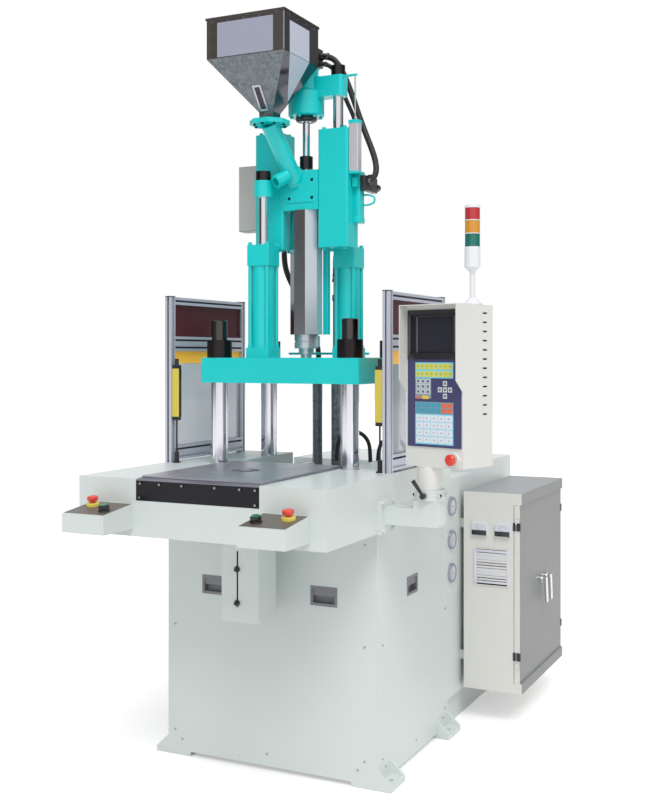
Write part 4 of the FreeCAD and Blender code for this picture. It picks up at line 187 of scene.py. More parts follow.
class MachineStage(bpy.types.PropertyGroup):
    """Light and camera."""

    lens: FloatProperty(name="Lens", description="Camera's focal length in millimetres",
                        default=50, min=20, max=200)
    sky: FloatProperty(name="Sky", description="Strength of the even light from all round",
                       default=0.72, min=0, max=3)
    key: FloatProperty(name="Key", description="Strength of the lamp from the front right",
                       default=1.45, min=0, max=9)


def colours():
    """The colours in use."""
    return bpy.context.scene.machine_colours


def sizes():
    """The fitting sizes in use."""
    return bpy.context.scene.machine_sizes


def stage_settings():
    """The light and camera settings in use."""
    return bpy.context.scene.machine_stage


# ---------------------------------------------------------------- node trees
class Nodes:
    """A node tree, and short ways to add nodes to it."""

    def __init__(self, tree):
        self.tree = tree

    def join(self, value, socket):
        """Link an output to a socket, or set the socket to a value."""
        if isinstance(value, bpy.types.NodeSocket):
            self.tree.links.new(value, socket)
        else:
            socket.default_value = value

    def feed(self, node, **inputs):
        """Link or set a node's inputs by name."""
        for label, value in inputs.items():
            self.join(value, node.inputs[label.replace("_", " ")])

    def node(self, kind, settings=None, **inputs):
        """A new shader node with its settings and inputs."""
        node = self.tree.nodes.new("ShaderNode" + kind)
        for label, value in (settings or {}).items():
            setattr(node, label, value)
        self.feed(node, **inputs)
        return node

    def maths(self, operation, first, second):
        """The result of a Math node."""
        node = self.node("Math", {"operation": operation})
        self.join(first, node.inputs[0])
        self.join(second, node.inputs[1])
        return node.outputs[0]

    def remap(self, value, low, high, start=0.0, end=1.0):
        """A value rescaled."""
        ranged = self.node("MapRange", Value=value, From_Min=start, From_Max=end, To_Min=low, To_Max=high)
        return ranged.outputs["Result"]

    def where(self, space="Object"):
        """Texture coordinates."""
        return self.node("TexCoord").outputs[space]


class Group(Nodes):
    """A shared shader group with float inputs, a tone and perhaps a normal."""

    def __init__(self, name, outputs, **inputs):
        super().__init__(bpy.data.node_groups.new(name, "ShaderNodeTree"))
        for label, default in inputs.items():
            socket = self.tree.interface.new_socket(label, in_out="INPUT", socket_type="NodeSocketFloat")
            socket.default_value = default
        for label, kind in outputs.items():
            self.tree.interface.new_socket(label, in_out="OUTPUT", socket_type="NodeSocket" + kind)
        self.entry = self.tree.nodes.new("NodeGroupInput").outputs
        self.exit = self.tree.nodes.new("NodeGroupOutput")

    def place(self, scale=(1, 1, 1)):
        """Object coordinates with a fixed scale."""
        return self.node("Mapping", Vector=self.where(), Scale=scale).outputs["Vector"]

    def skin(self, tone, height, strength, distance):
        """Pass on a tone and the normal of a bump."""
        bump = self.node("Bump", Height=height, Strength=strength, Distance=distance)
        self.feed(self.exit, Tone=tone, Normal=bump.outputs["Normal"])
        return self.tree


def paint_skin_group():
    """Sprayed paint: a slow drift of tone and a fine orange peel."""
    group = Group("paint skin", {"Tone": "Float", "Normal": "Vector"}, Peel=0.02, Grain=900.0)
    place = group.place()
    drift = group.node("TexNoise", Vector=place, Scale=2.2, Detail=3)
    peel = group.node("TexNoise", Vector=place, Scale=group.entry["Grain"], Detail=1)
    return group.skin(drift.outputs["Fac"], peel.outputs["Fac"], group.entry["Peel"], 0.0004)


def machined_group(name, scale):
    """Tool marks: noise stretched along one direction, as a tone and a normal."""
    group = Group(name, {"Tone": "Float", "Normal": "Vector"}, Depth=0.15)
    marks = group.node("TexNoise", Vector=group.place(scale), Scale=1, Detail=3)
    return group.skin(marks.outputs["Fac"], marks.outputs["Fac"], group.entry["Depth"], 0.0003)


def spangle_group():
    """Zinc spangle: irregular crystals of differing tone."""
    group = Group("zinc spangle", {"Tone": "Float"}, Size=90.0)
    place = group.place()
    warp = group.node("TexNoise", Vector=place, Scale=40)
    warped = group.node("Mix", {"data_type": "VECTOR"}, Factor=0.04, A=place, B=warp.outputs["Color"])
    crystals = group.node("TexVoronoi", Vector=warped.outputs["Result"], Scale=group.entry["Size"])
    split = group.node("SeparateColor", Color=crystals.outputs["Color"])
    group.feed(group.exit, Tone=split.outputs["Red"])
    return group.tree


# How fine each kind of tool marks is along X, Y and Z.
MARKS = {
    "marks along x": (6, 500, 500),
    "marks along y": (500, 6, 500),
    "marks along z": (500, 500, 6),
    "turning marks": (12, 12, 900),
}


def shader_group(name):
    """A shared shader group, made at its first use."""
    if name in bpy.data.node_groups:
        return bpy.data.node_groups[name]
    if name in MARKS:
        return machined_group(name, MARKS[name])
    return paint_skin_group() if name == "paint skin" else spangle_group()


# ---------------------------------------------------------------- materials
class Finish(Nodes):
    """A material with a Principled shader."""

    def __init__(self, name, **values):
        self.material = bpy.data.materials.new(name)
        self.material.use_nodes = True
        super().__init__(self.material.node_tree)
        self.shade(**values)

    def shade(self, **values):
        """Link or set the shader's inputs by name."""
        self.feed(self.tree.nodes["Principled BSDF"], **values)

    def group(self, name, **values):
        """The outputs of one of the shared groups."""
        return self.node("Group", {"node_tree": shader_group(name)}, **values).outputs

    def blend(self, factor, low, high):
        """Two colours mixed by a factor; a colour may itself be an output."""
        return self.node("Mix", {"data_type": "RGBA"}, Factor=factor, A=low, B=high).outputs["Result"]


def scaled(colour, factor):
    """A colour made darker or lighter."""
    return (*[min(1.0, part * factor) for part in colour[:3]], 1.0)


def painted(name, colour, roughness, coat, peel, grain, drift, gloss):
    """Sprayed enamel or moulded plastic with a fine skin."""
    finish = Finish(name, Coat_Weight=coat, Coat_Roughness=0.12, Specular_IOR_Level=gloss)
    skin = finish.group("paint skin", Peel=peel, Grain=grain)
    finish.shade(Base_Color=finish.blend(skin["Tone"], scaled(colour, 1 - drift), scaled(colour, 1 + drift)),
                 Roughness=finish.remap(skin["Tone"], roughness - 0.05, roughness + 0.07),
                 Normal=skin["Normal"])
    return finish.material


def metal(name, colour, roughness, marks, depth, spread, contrast, metallic):
    """Bare metal with tool marks."""
    finish = Finish(name, Metallic=metallic)
    grain = finish.group(marks, Depth=depth)
    finish.shade(Base_Color=finish.blend(grain["Tone"], scaled(colour, 1 - contrast),
                                         scaled(colour, 1 + contrast)),
                 Roughness=finish.remap(grain["Tone"], roughness - spread, roughness + spread),
                 Normal=grain["Normal"])
    return finish.material


def hose_rubber():
    """Black hose cover with its faint wrapped cloth."""
    finish = Finish("hose rubber", Roughness=0.52)
    skin = finish.group("paint skin", Peel=0.4, Grain=1400.0)
    finish.shade(Base_Color=finish.blend(skin["Tone"], srgb(30, 29, 31), srgb(46, 44, 46)),
                 Normal=skin["Normal"])
    return finish.material


def ground_table():
    """Ground steel of the table with faint cross marks and oily patches."""
    finish = Finish("ground table steel", Metallic=0.85)
    grain = finish.group("marks along x", Depth=0.12)
    cloud = finish.node("TexNoise", Vector=finish.where(), Scale=9.0, Detail=6.0)
    patch = finish.remap(cloud.outputs["Fac"], 0, 1, 0.35, 0.7)
    base = finish.blend(patch, srgb(178, 177, 188), srgb(200, 199, 208))
    finish.shade(Base_Color=finish.blend(grain["Tone"], base, srgb(160, 159, 170)),
                 Roughness=finish.remap(patch, 0.34, 0.5), Normal=grain["Normal"])
    return finish.material


def galvanised_sheet():
    """Galvanised sheet of the hopper's funnel."""
    finish = Finish("galvanised sheet", Metallic=0.75)
    tone = finish.group("zinc spangle", Size=85.0)["Tone"]
    finish.shade(Base_Color=finish.blend(tone, srgb(100, 107, 111), srgb(136, 143, 148)),
                 Roughness=finish.remap(tone, 0.34, 0.55))
    return finish.material


def clear_pane(name, colour, alpha, roughness, gloss):
    """Thin clear or tinted sheet."""
    finish = Finish(name, Alpha=alpha, IOR=1.49, Specular_IOR_Level=gloss)
    tone = finish.group("paint skin", Peel=0.01, Grain=60.0)["Tone"]
    finish.shade(Base_Color=finish.blend(tone, scaled(colour, 0.97), scaled(colour, 1.03)),
                 Roughness=finish.remap(tone, roughness - 0.04, roughness + 0.04))
    return finish.material


def lens_material(name, colour):
    """Ribbed, glowing-through plastic of a signal lens."""
    finish = Finish(name, Transmission_Weight=0.15, Subsurface_Weight=0.2, Coat_Weight=0.4)
    wave = finish.node("TexWave", {"wave_type": "BANDS", "bands_direction": "Z"},
                       Vector=finish.where(), Scale=95.0).outputs["Fac"]
    finish.shade(Base_Color=finish.blend(wave, scaled(colour, 0.85), scaled(colour, 1.1)),
                 Roughness=finish.remap(wave, 0.2, 0.36))
    return finish.material


# Enamels: colour (a setting's name or display values), roughness, clear coat, peel, grain, drift, gloss.
PAINTS = {
    "body paint": ("body", 0.38, 0.12, 0.03, 700.0, 0.05, 0.5),
    "cabinet paint": ("cabinet", 0.42, 0.05, 0.03, 700.0, 0.05, 0.5),
    # Painted shade: the cabinet paint darkened for the right-facing sides of the doors and the cabinet.
    "door paint": ("doors", 0.42, 0.05, 0.03, 700.0, 0.05, 0.5),
    "housing paint": ("housing", 0.42, 0.05, 0.03, 700.0, 0.05, 0.5),
    "turquoise paint": ("turquoise", 0.3, 0.25, 0.05, 420.0, 0.06, 0.5),
    "black paint": ("black", 0.36, 0.1, 0.05, 700.0, 0.05, 0.5),
    "black gloss": ((30, 30, 35), 0.24, 0.04, 0.01, 700.0, 0.05, 0.2),
    # The band is also given a faint glow of its own colour in dress_guards: painted light.
    "band yellow": ("band", 0.4, 0.1, 0.03, 700.0, 0.05, 0.5),
    "slot shadow": ((44, 46, 60), 0.6, 0.0, 0.03, 700.0, 0.05, 0.5),
    "curtain yellow": ("curtain", 0.35, 0.15, 0.03, 700.0, 0.05, 0.5),
    # Painted shade: a darker grey that stands in for the shade on the cabinet's roof.
    "cabinet roof": ((150, 154, 158), 0.42, 0.05, 0.03, 700.0, 0.05, 0.5),
    "box grey": ((180, 181, 178), 0.45, 0.0, 0.03, 700.0, 0.05, 0.5),
    "box top plate": ((106, 99, 92), 0.42, 0.05, 0.03, 700.0, 0.05, 0.5),
}

# Metals: display values, roughness, tool marks and their depth, spread of roughness, contrast, metallic.
METALS = {
    "hard chrome": ((222, 222, 228), 0.12, "turning marks", 0.02, 0.03, 0.03, 1.0),
    "polished chrome": ((225, 226, 230), 0.09, "turning marks", 0.01, 0.02, 0.02, 1.0),
    "anodised aluminium": ((205, 209, 222), 0.38, "marks along z", 0.08, 0.05, 0.04, 0.45),
    "stainless sheet": ((196, 199, 206), 0.2, "marks along x", 0.08, 0.05, 0.05, 1.0),
    "brushed flange": ((138, 132, 128), 0.34, "marks along x", 0.1, 0.08, 0.07, 1.0),
    # Painted dark reflection on the hopper's right wall and its flanges.
    "dark flange": ((84, 82, 88), 0.36, "marks along y", 0.1, 0.08, 0.07, 1.0),
    "blackened steel": ((62, 58, 60), 0.34, "turning marks", 0.1, 0.06, 0.15, 1.0),
    "turned steel": ((150, 150, 158), 0.27, "turning marks", 0.15, 0.06, 0.1, 1.0),
    "zinc plated screws": ((170, 172, 172), 0.3, "turning marks", 0.05, 0.05, 0.1, 1.0),
    # Painted dark reflection on the funnel's right face.
    "funnel mirror": ((96, 96, 102), 0.12, "marks along y", 0.05, 0.04, 0.05, 1.0),
    "bar end steel": ((84, 80, 80), 0.24, "turning marks", 0.1, 0.05, 0.12, 1.0),
    "cover stainless": ((196, 196, 202), 0.2, "marks along z", 0.1, 0.05, 0.05, 1.0),
    # Painted highlight: a lighter, less metallic copy of cover stainless for the cover's right-facing faces.
    "cover side": ((204, 209, 217), 0.3, "marks along z", 0.1, 0.05, 0.04, 0.45),
    "bright strip": ((150, 150, 164), 0.3, "marks along x", 0.1, 0.05, 0.05, 1.0),
    "gauge bezel": ((176, 176, 188), 0.38, "turning marks", 0.02, 0.04, 0.04, 0.8),
    "nut steel": ((52, 48, 50), 0.3, "turning marks", 0.2, 0.05, 0.1, 1.0),
    "sensor aluminium": ((216, 212, 220), 0.32, "marks along z", 0.08, 0.05, 0.04, 0.4),
    "nozzle steel": ((200, 200, 208), 0.3, "turning marks", 0.12, 0.06, 0.08, 0.7),
    "sight frame steel": ((200, 200, 204), 0.3, "marks along z", 0.05, 0.05, 0.04, 0.5),
    # Painted highlight strip on the hopper's near corner.
    "bright fold": ((208, 211, 216), 0.3, "marks along z", 0.05, 0.05, 0.04, 0.5),
    "union steel": ((122, 118, 108), 0.32, "turning marks", 0.1, 0.05, 0.12, 1.0),
}

# Plastics: colour, roughness, clear coat.
PLASTICS = {
    "cap black": ((50, 50, 56), 0.4, 0.0),
    "curtain black": ((34, 33, 36), 0.4, 0.0),
    "tower white": ((236, 237, 240), 0.3, 0.3),
    "stop red": ("stop", 0.28, 0.4),
    "start green": ("start", 0.3, 0.3),
    "button black": ((32, 32, 36), 0.35, 0.0),
    "collar yellow": ((232, 214, 92), 0.35, 0.2),
    "pull grey": ((128, 128, 134), 0.4, 0.0),
    "meter white": ((226, 232, 242), 0.3, 0.0),
    "membrane navy": ("keypad", 0.32, 0.15),
    "screen surround": ((36, 34, 42), 0.22, 0.5),
    "screen glass": ((46, 46, 58), 0.1, 0.6),
    # Painted highlight along the screen glass's left edge.
    "screen edge": ((104, 104, 116), 0.3, 0.0),
    "field cyan": ((120, 214, 240), 0.35, 0.0),
    "key yellow": ((214, 214, 84), 0.35, 0.0),
    "key grey": ((206, 212, 214), 0.35, 0.0),
    "key slate": ((92, 98, 118), 0.35, 0.0),
    "key orange": ((234, 110, 72), 0.35, 0.0),
    "key teal": ((74, 158, 182), 0.35, 0.0),
    "key white": ((226, 232, 240), 0.35, 0.0),
    "key mark": ((150, 126, 150), 0.4, 0.0),
    "key mark lime": ((160, 158, 52), 0.4, 0.0),
    "dial white": ((214, 216, 226), 0.4, 0.0),
    "dial black": ((36, 36, 40), 0.4, 0.0),
    "field slate": ((128, 160, 178), 0.35, 0.0),
    "key amber": ((238, 200, 70), 0.35, 0.0),
    "grille lilac": ((216, 216, 228), 0.4, 0.0),
    "hopper sheet front": ((160, 165, 183), 0.35, 0.0),
    # Painted reflection: a pale sheet that stands in for the bright reflection on the hopper's right wall and
    # funnel face.
    "hopper sheet side": ((192, 200, 216), 0.35, 0.0),
    "meter black": ((44, 42, 50), 0.25, 0.3),
}
# What every plastic shares: peel, grain, drift, gloss.
PLASTIC_SKIN = (0.05, 1500.0, 0.03, 0.5)

# Clear and tinted sheet: colour, how opaque, roughness, gloss.
PANES = {
    "clear pane": ((196, 203, 214), 0.6, 0.12, 0.5),
    "maroon pane": ("maroon", 0.97, 0.3, 0.2),
    # Painted shade: the sight strip tinted dark and nearly opaque for the hopper's shaded inside.
    "sight pane": ((60, 56, 66), 0.85, 0.12, 0.5),
    "gauge glass": ((235, 240, 244), 0.12, 0.06, 0.5),
}

# Signal lenses: display values.
LENSES = {
    "lens green": (18, 122, 112),
    "lens amber": (236, 164, 52),
    "lens red": (206, 52, 62),
}

# Finishes that have their own maker.
SPECIAL = {
    "hose rubber": hose_rubber,
    "ground table steel": ground_table,
    "galvanised sheet": galvanised_sheet,
}


def display(colour):
    """A linear colour from a setting's name or from display values."""
    return tuple(getattr(colours(), colour)) if isinstance(colour, str) else srgb(*colour)


def made(name):
    """A finish by its name, made at its first use."""
    if name in bpy.data.materials:
        return bpy.data.materials[name]
    if name in SPECIAL:
        return SPECIAL[name]()
    if name in LENSES:
        return lens_material(name, srgb(*LENSES[name]))
    for table, maker in ((METALS, metal), (PAINTS, painted), (PANES, clear_pane)):
        if name in table:
            colour, *values = table[name]
            return maker(name, display(colour), *values)
    colour, roughness, coat = PLASTICS[name]
    return painted(name, display(colour), roughness, coat, *PLASTIC_SKIN)


# ---------------------------------------------------------------- modelling helpers
def deselect():
    """Nothing selected."""
    bpy.ops.object.select_all(action="DESELECT")


def only(piece):
    """Select and activate one piece."""
    deselect()
    piece.select_set(True)
    bpy.context.view_layer.objects.active = piece


def settle(piece):
    """Bring a piece's place into its mesh."""
    only(piece)
    bpy.ops.object.transform_apply(location=True, rotation=True, scale=True)
    return piece


def edit_faces(piece, test):
    """Enter edit mode with only the faces that pass the test selected."""
    only(piece)
    bpy.ops.object.mode_set(mode="EDIT")
    bpy.ops.mesh.select_mode(type="FACE")
    bpy.ops.mesh.select_all(action="DESELECT")
    mesh = bmesh.from_edit_mesh(piece.data)
    mesh.faces.ensure_lookup_table()
    for face in mesh.faces:
        if test(face.calc_center_median(), face.normal):
            face.select_set(True)
    mesh.select_flush(True)
    bmesh.update_edit_mesh(piece.data)


def leave_edit():
    """Back to object mode."""
    bpy.ops.object.mode_set(mode="OBJECT")


def bevel_all(piece, width, segments=2):
    """Round every edge that turns."""
    only(piece)
    bpy.ops.object.mode_set(mode="EDIT")
    bpy.ops.mesh.select_mode(type="EDGE")
    bpy.ops.mesh.select_all(action="DESELECT")
    mesh = bmesh.from_edit_mesh(piece.data)
    for edge in mesh.edges:
        if len(edge.link_faces) == 2 and edge.calc_face_angle() > math.radians(40):
            edge.select_set(True)
    bmesh.update_edit_mesh(piece.data)
    bpy.ops.mesh.bevel(offset=width, segments=segments, affect="EDGES", clamp_overlap=True)
    leave_edit()


def block(low, high, bevel=0.0, segments=2):
    """A block between two corners with rounded edges."""
    low = Vector(low)
    high = Vector(high)
    deselect()
    bpy.ops.mesh.primitive_cube_add(size=1, location=(low + high) / 2)
    piece = bpy.context.object
    piece.scale = [max(1e-5, abs(side)) for side in (high - low)]
    settle(piece)
    if bevel:
        bevel_all(piece, bevel, segments)
    return piece


def turn_to(direction):
    """Euler angles that turn +Z to a direction."""
    return Vector(direction).to_track_quat("Z", "Y").to_euler()


def drum(centre, direction, radius, height, bevel=0.0, sides=32):
    """A round bar that starts at centre and runs along a direction, with rounded rims."""
    direction = Vector(direction).normalized()
    deselect()
    bpy.ops.mesh.primitive_cylinder_add(vertices=sides, radius=radius, depth=height,
                                        location=Vector(centre) + direction * height / 2,
                                        rotation=turn_to(direction))
    piece = settle(bpy.context.object)
    if bevel:
        bevel_all(piece, bevel, 2)
    return piece


def recess(piece, direction, inset, depth):
    """Inset the end face that looks along a direction and push it in."""
    direction = Vector(direction).normalized()
    reach = max(vertex.co.dot(direction) for vertex in piece.data.vertices)
    edit_faces(piece, lambda centre, normal: normal.dot(direction) > 0.99
               and centre.dot(direction) > reach - 1e-5)
    bpy.ops.mesh.inset(thickness=inset, depth=0)
    bpy.ops.mesh.extrude_region_move(TRANSFORM_OT_translate={"value": direction * -depth})
    leave_edit()
    return piece


def socket_head(centre, direction, diameter, height):
    """A cylindrical screw head with its hexagon socket."""
    piece = drum(centre, direction, diameter / 2, height, diameter * 0.04, 24)
    return recess(piece, direction, diameter * 0.22, height * 0.55)


def pan_head(centre, direction, diameter):
    """A low domed screw head with a shallow drive recess."""
    piece = drum(centre, direction, diameter / 2, diameter * 0.28, diameter * 0.1, 16)
    return recess(piece, direction, diameter * 0.2, diameter * 0.1)


def hexagon_head(centre, direction, across, height):
    """A hexagon bolt head with a washer."""
    direction = Vector(direction).normalized()
    washer = drum(centre, direction, across * 0.72, across * 0.1, across * 0.02, 28)
    head = drum(Vector(centre) + direction * across * 0.1, direction, across * 0.577, height,
                across * 0.04, 6)
    return joined([washer, head])


def copy_to(piece, shift):
    """A copy of a piece, moved, with its own mesh."""
    twin = piece.copy()
    twin.data = piece.data.copy()
    bpy.context.scene.collection.objects.link(twin)
    twin.data.transform(Matrix.Translation(shift))
    return twin


def joined(pieces):
    """Several meshes as one."""
    deselect()
    for piece in pieces:
        piece.select_set(True)
    bpy.context.view_layer.objects.active = pieces[0]
    if len(pieces) > 1:
        bpy.ops.object.join()
    return bpy.context.view_layer.objects.active


def spread(template, start, places):
    """Copies of a template, made at start, at each of the places; the template goes to the first."""
    copies = [copy_to(template, Vector(place) - Vector(start)) for place in places]
    bpy.data.objects.remove(template)
    return joined(copies)


SMOOTH_ANGLE = math.radians(35)


def fitted(pieces, finish, name, body):
    """Join pieces, give them a finish, a name and a material slot, and let them ride on a body."""
    piece = joined(pieces)
    piece.data.materials.clear()
    piece.data.materials.append(made(finish))
    only(piece)
    bpy.ops.object.shade_smooth_by_angle(angle=SMOOTH_ANGLE)
    piece.name = name
    piece.data.name = name
    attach(piece, body)
    return piece


def slope_height(y):
    """Height of the control boxes' sloping tops at a depth."""
    return BOX_FRONT_TOP + (y - BOX_FRONT_Y) * math.tan(BOX_SLOPE)


def to_slope(piece, x, y):
    """Stand a piece, built on the origin, on a control box's sloping top."""
    piece.data.transform(Matrix.Translation((x, y, slope_height(y))) @ Matrix.Rotation(BOX_SLOPE, 4, "X"))
    return piece


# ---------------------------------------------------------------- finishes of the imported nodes
SLOT_FINISHES = {
    "body_paint": "body paint",
    "cabinet_paint": "cabinet paint",
    "turquoise_paint": "turquoise paint",
    "tank_paint": "body paint",
    "black_plate": "black gloss",
    "black_paint": "black paint",
    "black_plastic": "black paint",
    "bare_steel": "turned steel",
    "hard_chrome": "hard chrome",
    "guard_aluminium": "anodised aluminium",
    "aluminium": "anodised aluminium",
    "stainless": "stainless sheet",
    "galvanised": "galvanised sheet",
    "hose_rubber": "hose rubber",
    "gauge_case": "polished chrome",
}

# Nodes whose finish isn't their slot's.
NODE_FINISHES = {
    "tie_bar_nuts": "nut steel",
    "injection_crosshead": "turquoise paint",
    "feed_chute": "turquoise paint",
    "hydraulic_motor": "black paint",
    "transducer": "sensor aluminium",
    "nozzle": "nozzle steel",
    "junction_box": "box grey",
    "slide_table": "ground table steel",
    "stroke_stop": "black paint",
    "emergency_stop_left": "stop red",
    "emergency_stop_right": "stop red",
    "emergency_stop_panel": "stop red",
    "control_case": "housing paint",
    "control_face": "membrane navy",
}


def dress(name, *parts):
    """Give a node its finishes: the first everywhere, each further one where its test passes."""
    node = frame["nodes"][name]
    node.data.materials.clear()
    tests = []
    for part in parts:
        finish, test = part if isinstance(part, tuple) else (part, None)
        node.data.materials.append(made(finish))
        tests.append(test)
    if len(parts) > 1:
        for face in node.data.polygons:
            index = 0
            for number, test in enumerate(tests):
                if test and test(face.center, face.normal):
                    index = number
            face.material_index = index


def above(height):
    """Test for faces above a height."""
    return lambda centre, normal: centre.z > height


def between(low, high):
    """Test for faces between two heights."""
    return lambda centre, normal: low < centre.z < high


def dress_plain():
    """One finish for every node: its own, or that of its material slot."""
    for entry in frame["record"]["subparts"]:
        of_slot = SLOT_FINISHES.get(entry["material_slot"], "body paint")
        dress(entry["node"], NODE_FINISHES.get(entry["node"], of_slot))


def dress_hopper():
    """Upright walls in brushed steel, funnel in galvanised sheet; the funnel's right face and the right wall
    darkened as a painted dark reflection.
    """
    def right_face(centre, normal):
        return centre.z < HOPPER_SHOULDER and centre.x > OUTLET[0] and normal.x > 0.3

    def right_wall(centre, normal):
        return centre.z > HOPPER_SHOULDER and centre.x > 0.08 and normal.x > 0.9

    # Painted dark reflection on the funnel's right face and on the right wall.
    dress("hopper", "brushed flange", ("galvanised sheet", between(0, HOPPER_SHOULDER)),
          ("funnel mirror", right_face), ("dark flange", right_wall))


def dress_guards():
    """Tinted upper pane, yellow band with a faint painted glow and clear lower pane; slotted profiles with
    black caps.
    """
    dress("guard_panes", "clear pane", ("band yellow", between(BAND_BOTTOM, BAND_TOP)),
          ("maroon pane", above(UPPER_PANE)))
    # Painted light: the band glows faintly in its own colour.
    band = made("band yellow").node_tree.nodes["Principled BSDF"]
    band.inputs["Emission Color"].default_value = display("band")
    band.inputs["Emission Strength"].default_value = 0.25

    def in_slot(centre, normal):
        near_post = abs(abs(centre.x) - GUARD_X) < 0.0085
        return near_post and abs(normal.x) > 0.9 and SLOT_BOTTOM < centre.z < SLOT_TOP

    dress("guard_frames", "anodised aluminium", ("slot shadow", in_slot), ("cap black", above(CAP_BOTTOM)))


def dress_light_curtains():
    """Yellow cases with black lens faces, ends and leads."""
    def dark(centre, normal):
        ends = centre.z < CURTAIN_Z[0] or centre.z > CURTAIN_Z[1]
        facing = normal.x * (1 if centre.x < 0 else -1) > 0.9
        return ends or facing

    dress("light_curtains", "curtain yellow", ("curtain black", dark))


def dress_tower_light():
    """White stem and caps; green, amber and red lenses."""
    parts = ["tower white"]
    for name, low, high in TOWER_LENSES:
        parts.append((name, lambda centre, normal, low=low, high=high:
                      low < centre.z < high and abs(normal.z) < 0.5))
    dress("tower_light", *parts)


def round_on_boxes(place, radius):
    """Test for faces round a fitting that stands on either control box."""
    def test(centre, normal):
        near = min(math.hypot(centre.x - side * place[0], centre.y - place[1]) for side in (-1, 1))
        return near < radius and centre.z > slope_height(centre.y) + 0.0004

    return test


def dress_buttons():
    """Start buttons with green caps, and the collars on the control boxes."""
    up = Vector((0, -math.sin(BOX_SLOPE), math.cos(BOX_SLOPE)))
    for name, side in (("start_button_left", -1), ("start_button_right", 1)):
        foot = Vector((side * START_AT[0], START_AT[1], slope_height(START_AT[1])))
        dress(name, "button black", ("start green", lambda centre, normal, foot=foot:
                                     (centre - foot).dot(up) > START_CAP))
    dress("control_boxes", "body paint", ("collar yellow", round_on_boxes(STOP_AT, 0.0255)),
          ("button black", round_on_boxes(START_AT, 0.0225)))


def dress_unit():
    """Rods with their ends, the barrel's cover with a painted highlight on its right-facing faces, the black
    plate's edge and the ejector rod.
    """
    dress("tie_bars", "hard chrome", ("bar end steel", above(TIE_BAR_END)))
    dress("carriage_rods", "hard chrome", ("blackened steel", above(CARRIAGE_ROD_END)))
    dress("injection_rods", "hard chrome", ("blackened steel", above(INJECTION_ROD_END)))
    dress("screw", "hard chrome", ("blackened steel", between(*COUPLING)))
    # Painted highlight: the cover's right-facing faces take a lighter, less metallic copy of its stainless.
    dress("barrel_cover", "cover stainless", ("cover side", lambda centre, normal: normal.x > 0.3))
    dress("front_cover_plate", "black gloss",
          ("bright strip", lambda centre, normal: normal.z > 0.1 and normal.y < -0.05))
    dress("ejector_rod", "black paint",
          ("hard chrome", lambda centre, normal: math.hypot(centre.x, centre.y + 0.55) < 0.0165))


def dress_base():
    """Recessed pulls in grey; painted shade on the cabinet's roof and on the right-facing sides of the
    cabinet and doors; and the meters' cases.
    """
    def in_pull(centre, normal):
        if not PULL_Z[0] < centre.z < PULL_Z[1]:
            return False
        front = centre.y < -0.3585 and abs(abs(centre.x) - PULL_FRONT_X) < PULL_HALF
        side = abs(centre.x) > 0.434 and abs(centre.y - PULL_SIDE_Y) < PULL_HALF
        return front or side

    dress("base_panels", "body paint", ("pull grey", in_pull))
    # Painted shade: the right-facing sides of the doors and the cabinet take a darker copy of the cabinet
    # paint, and the roof a darker grey.
    for name in ("cabinet_door_front", "cabinet_door_rear"):
        dress(name, "door paint", ("cabinet paint", lambda centre, normal: normal.y < -0.5))
    dress("electric_cabinet", "cabinet paint", ("cabinet roof", lambda centre, normal: normal.z > 0.9),
          ("door paint", lambda centre, normal: normal.x > 0.9 and centre.x > 0.70))
    dress("gauges", "gauge bezel", ("meter white", lambda centre, normal: centre.y > 0.45))


class MACHINE_OT_finishes(bpy.types.Operator):
    """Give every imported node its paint, metal or plastic"""

    bl_idname = "machine.finishes"
    bl_label = "Finishes"

    def execute(self, context):
        dress_plain()
        dress_hopper()
        dress_guards()
        dress_light_curtains()
        dress_tower_light()
        dress_buttons()
        dress_unit()
        dress_base()
        return {"FINISHED"}


# ---------------------------------------------------------------- hoses
PORT_X = 0.046
VALVE_X = 0.240
BLOCK_REAR = -0.003
HOSE = 0.024
SMALL_HOSE = 0.018

ROUTES = {
    "pressure_hose": (
        (PORT_X, -.018, 2.828), (.092, -.018, 2.828), (.126, -.004, 2.788), (.150, .008, 2.732),
        (.176, .014, 2.662), (.202, .016, 2.586), (.232, .014, 2.510), (.262, .008, 2.444),
        (.284, .004, 2.386), (.294, -.010, 2.334), (.278, -.024, 2.300), (VALVE_X, -.024, 2.300)),
    "return_hose": (
        (PORT_X, -.018, 2.797), (.084, -.018, 2.797), (.108, 0, 2.757), (.122, .016, 2.712),
        (.140, .024, 2.656), (.164, .028, 2.604), (.184, .034, 2.552), (.192, .040, 2.500),
        (.190, .044, 2.450), (.186, .044, 2.400), (.186, BLOCK_REAR, 2.400)),
    "right_carriage_hose": (
        (-.096, .420, 1.930), (-.096, .420, 1.988), (-.074, .374, 2.032), (-.036, .306, 2.052),
        (.008, .230, 2.060), (.050, .150, 2.072), (.086, .078, 2.092), (.110, .038, 2.110),
        (.110, BLOCK_REAR, 2.110)),
    "left_carriage_hose": (
        (-.180, .420, 1.550), (-.180, .420, 1.610), (-.178, .382, 1.690), (-.162, .310, 1.752),
        (-.148, .228, 1.800), (-.141, .150, 1.850), (-.150, .092, 1.908), (-.163, .062, 1.972),
        (-.165, .056, 2.042), (-.160, .056, 2.110), (-.160, BLOCK_REAR, 2.110)),
    "left_deck_hose": (
        (-.050, .335, 1.102), (-.050, .335, 1.216), (-.013, .358, 1.259), (.039, .389, 1.259),
        (.075, .412, 1.216), (.080, .414, 1.140), (.080, .414, 1.066)),
    "right_deck_hose": (
        (.150, .335, 1.102), (.150, .335, 1.198), (.182, .352, 1.236), (.226, .375, 1.236),
        (.258, .392, 1.198), (.262, .394, 1.130), (.262, .394, 1.066)),
}

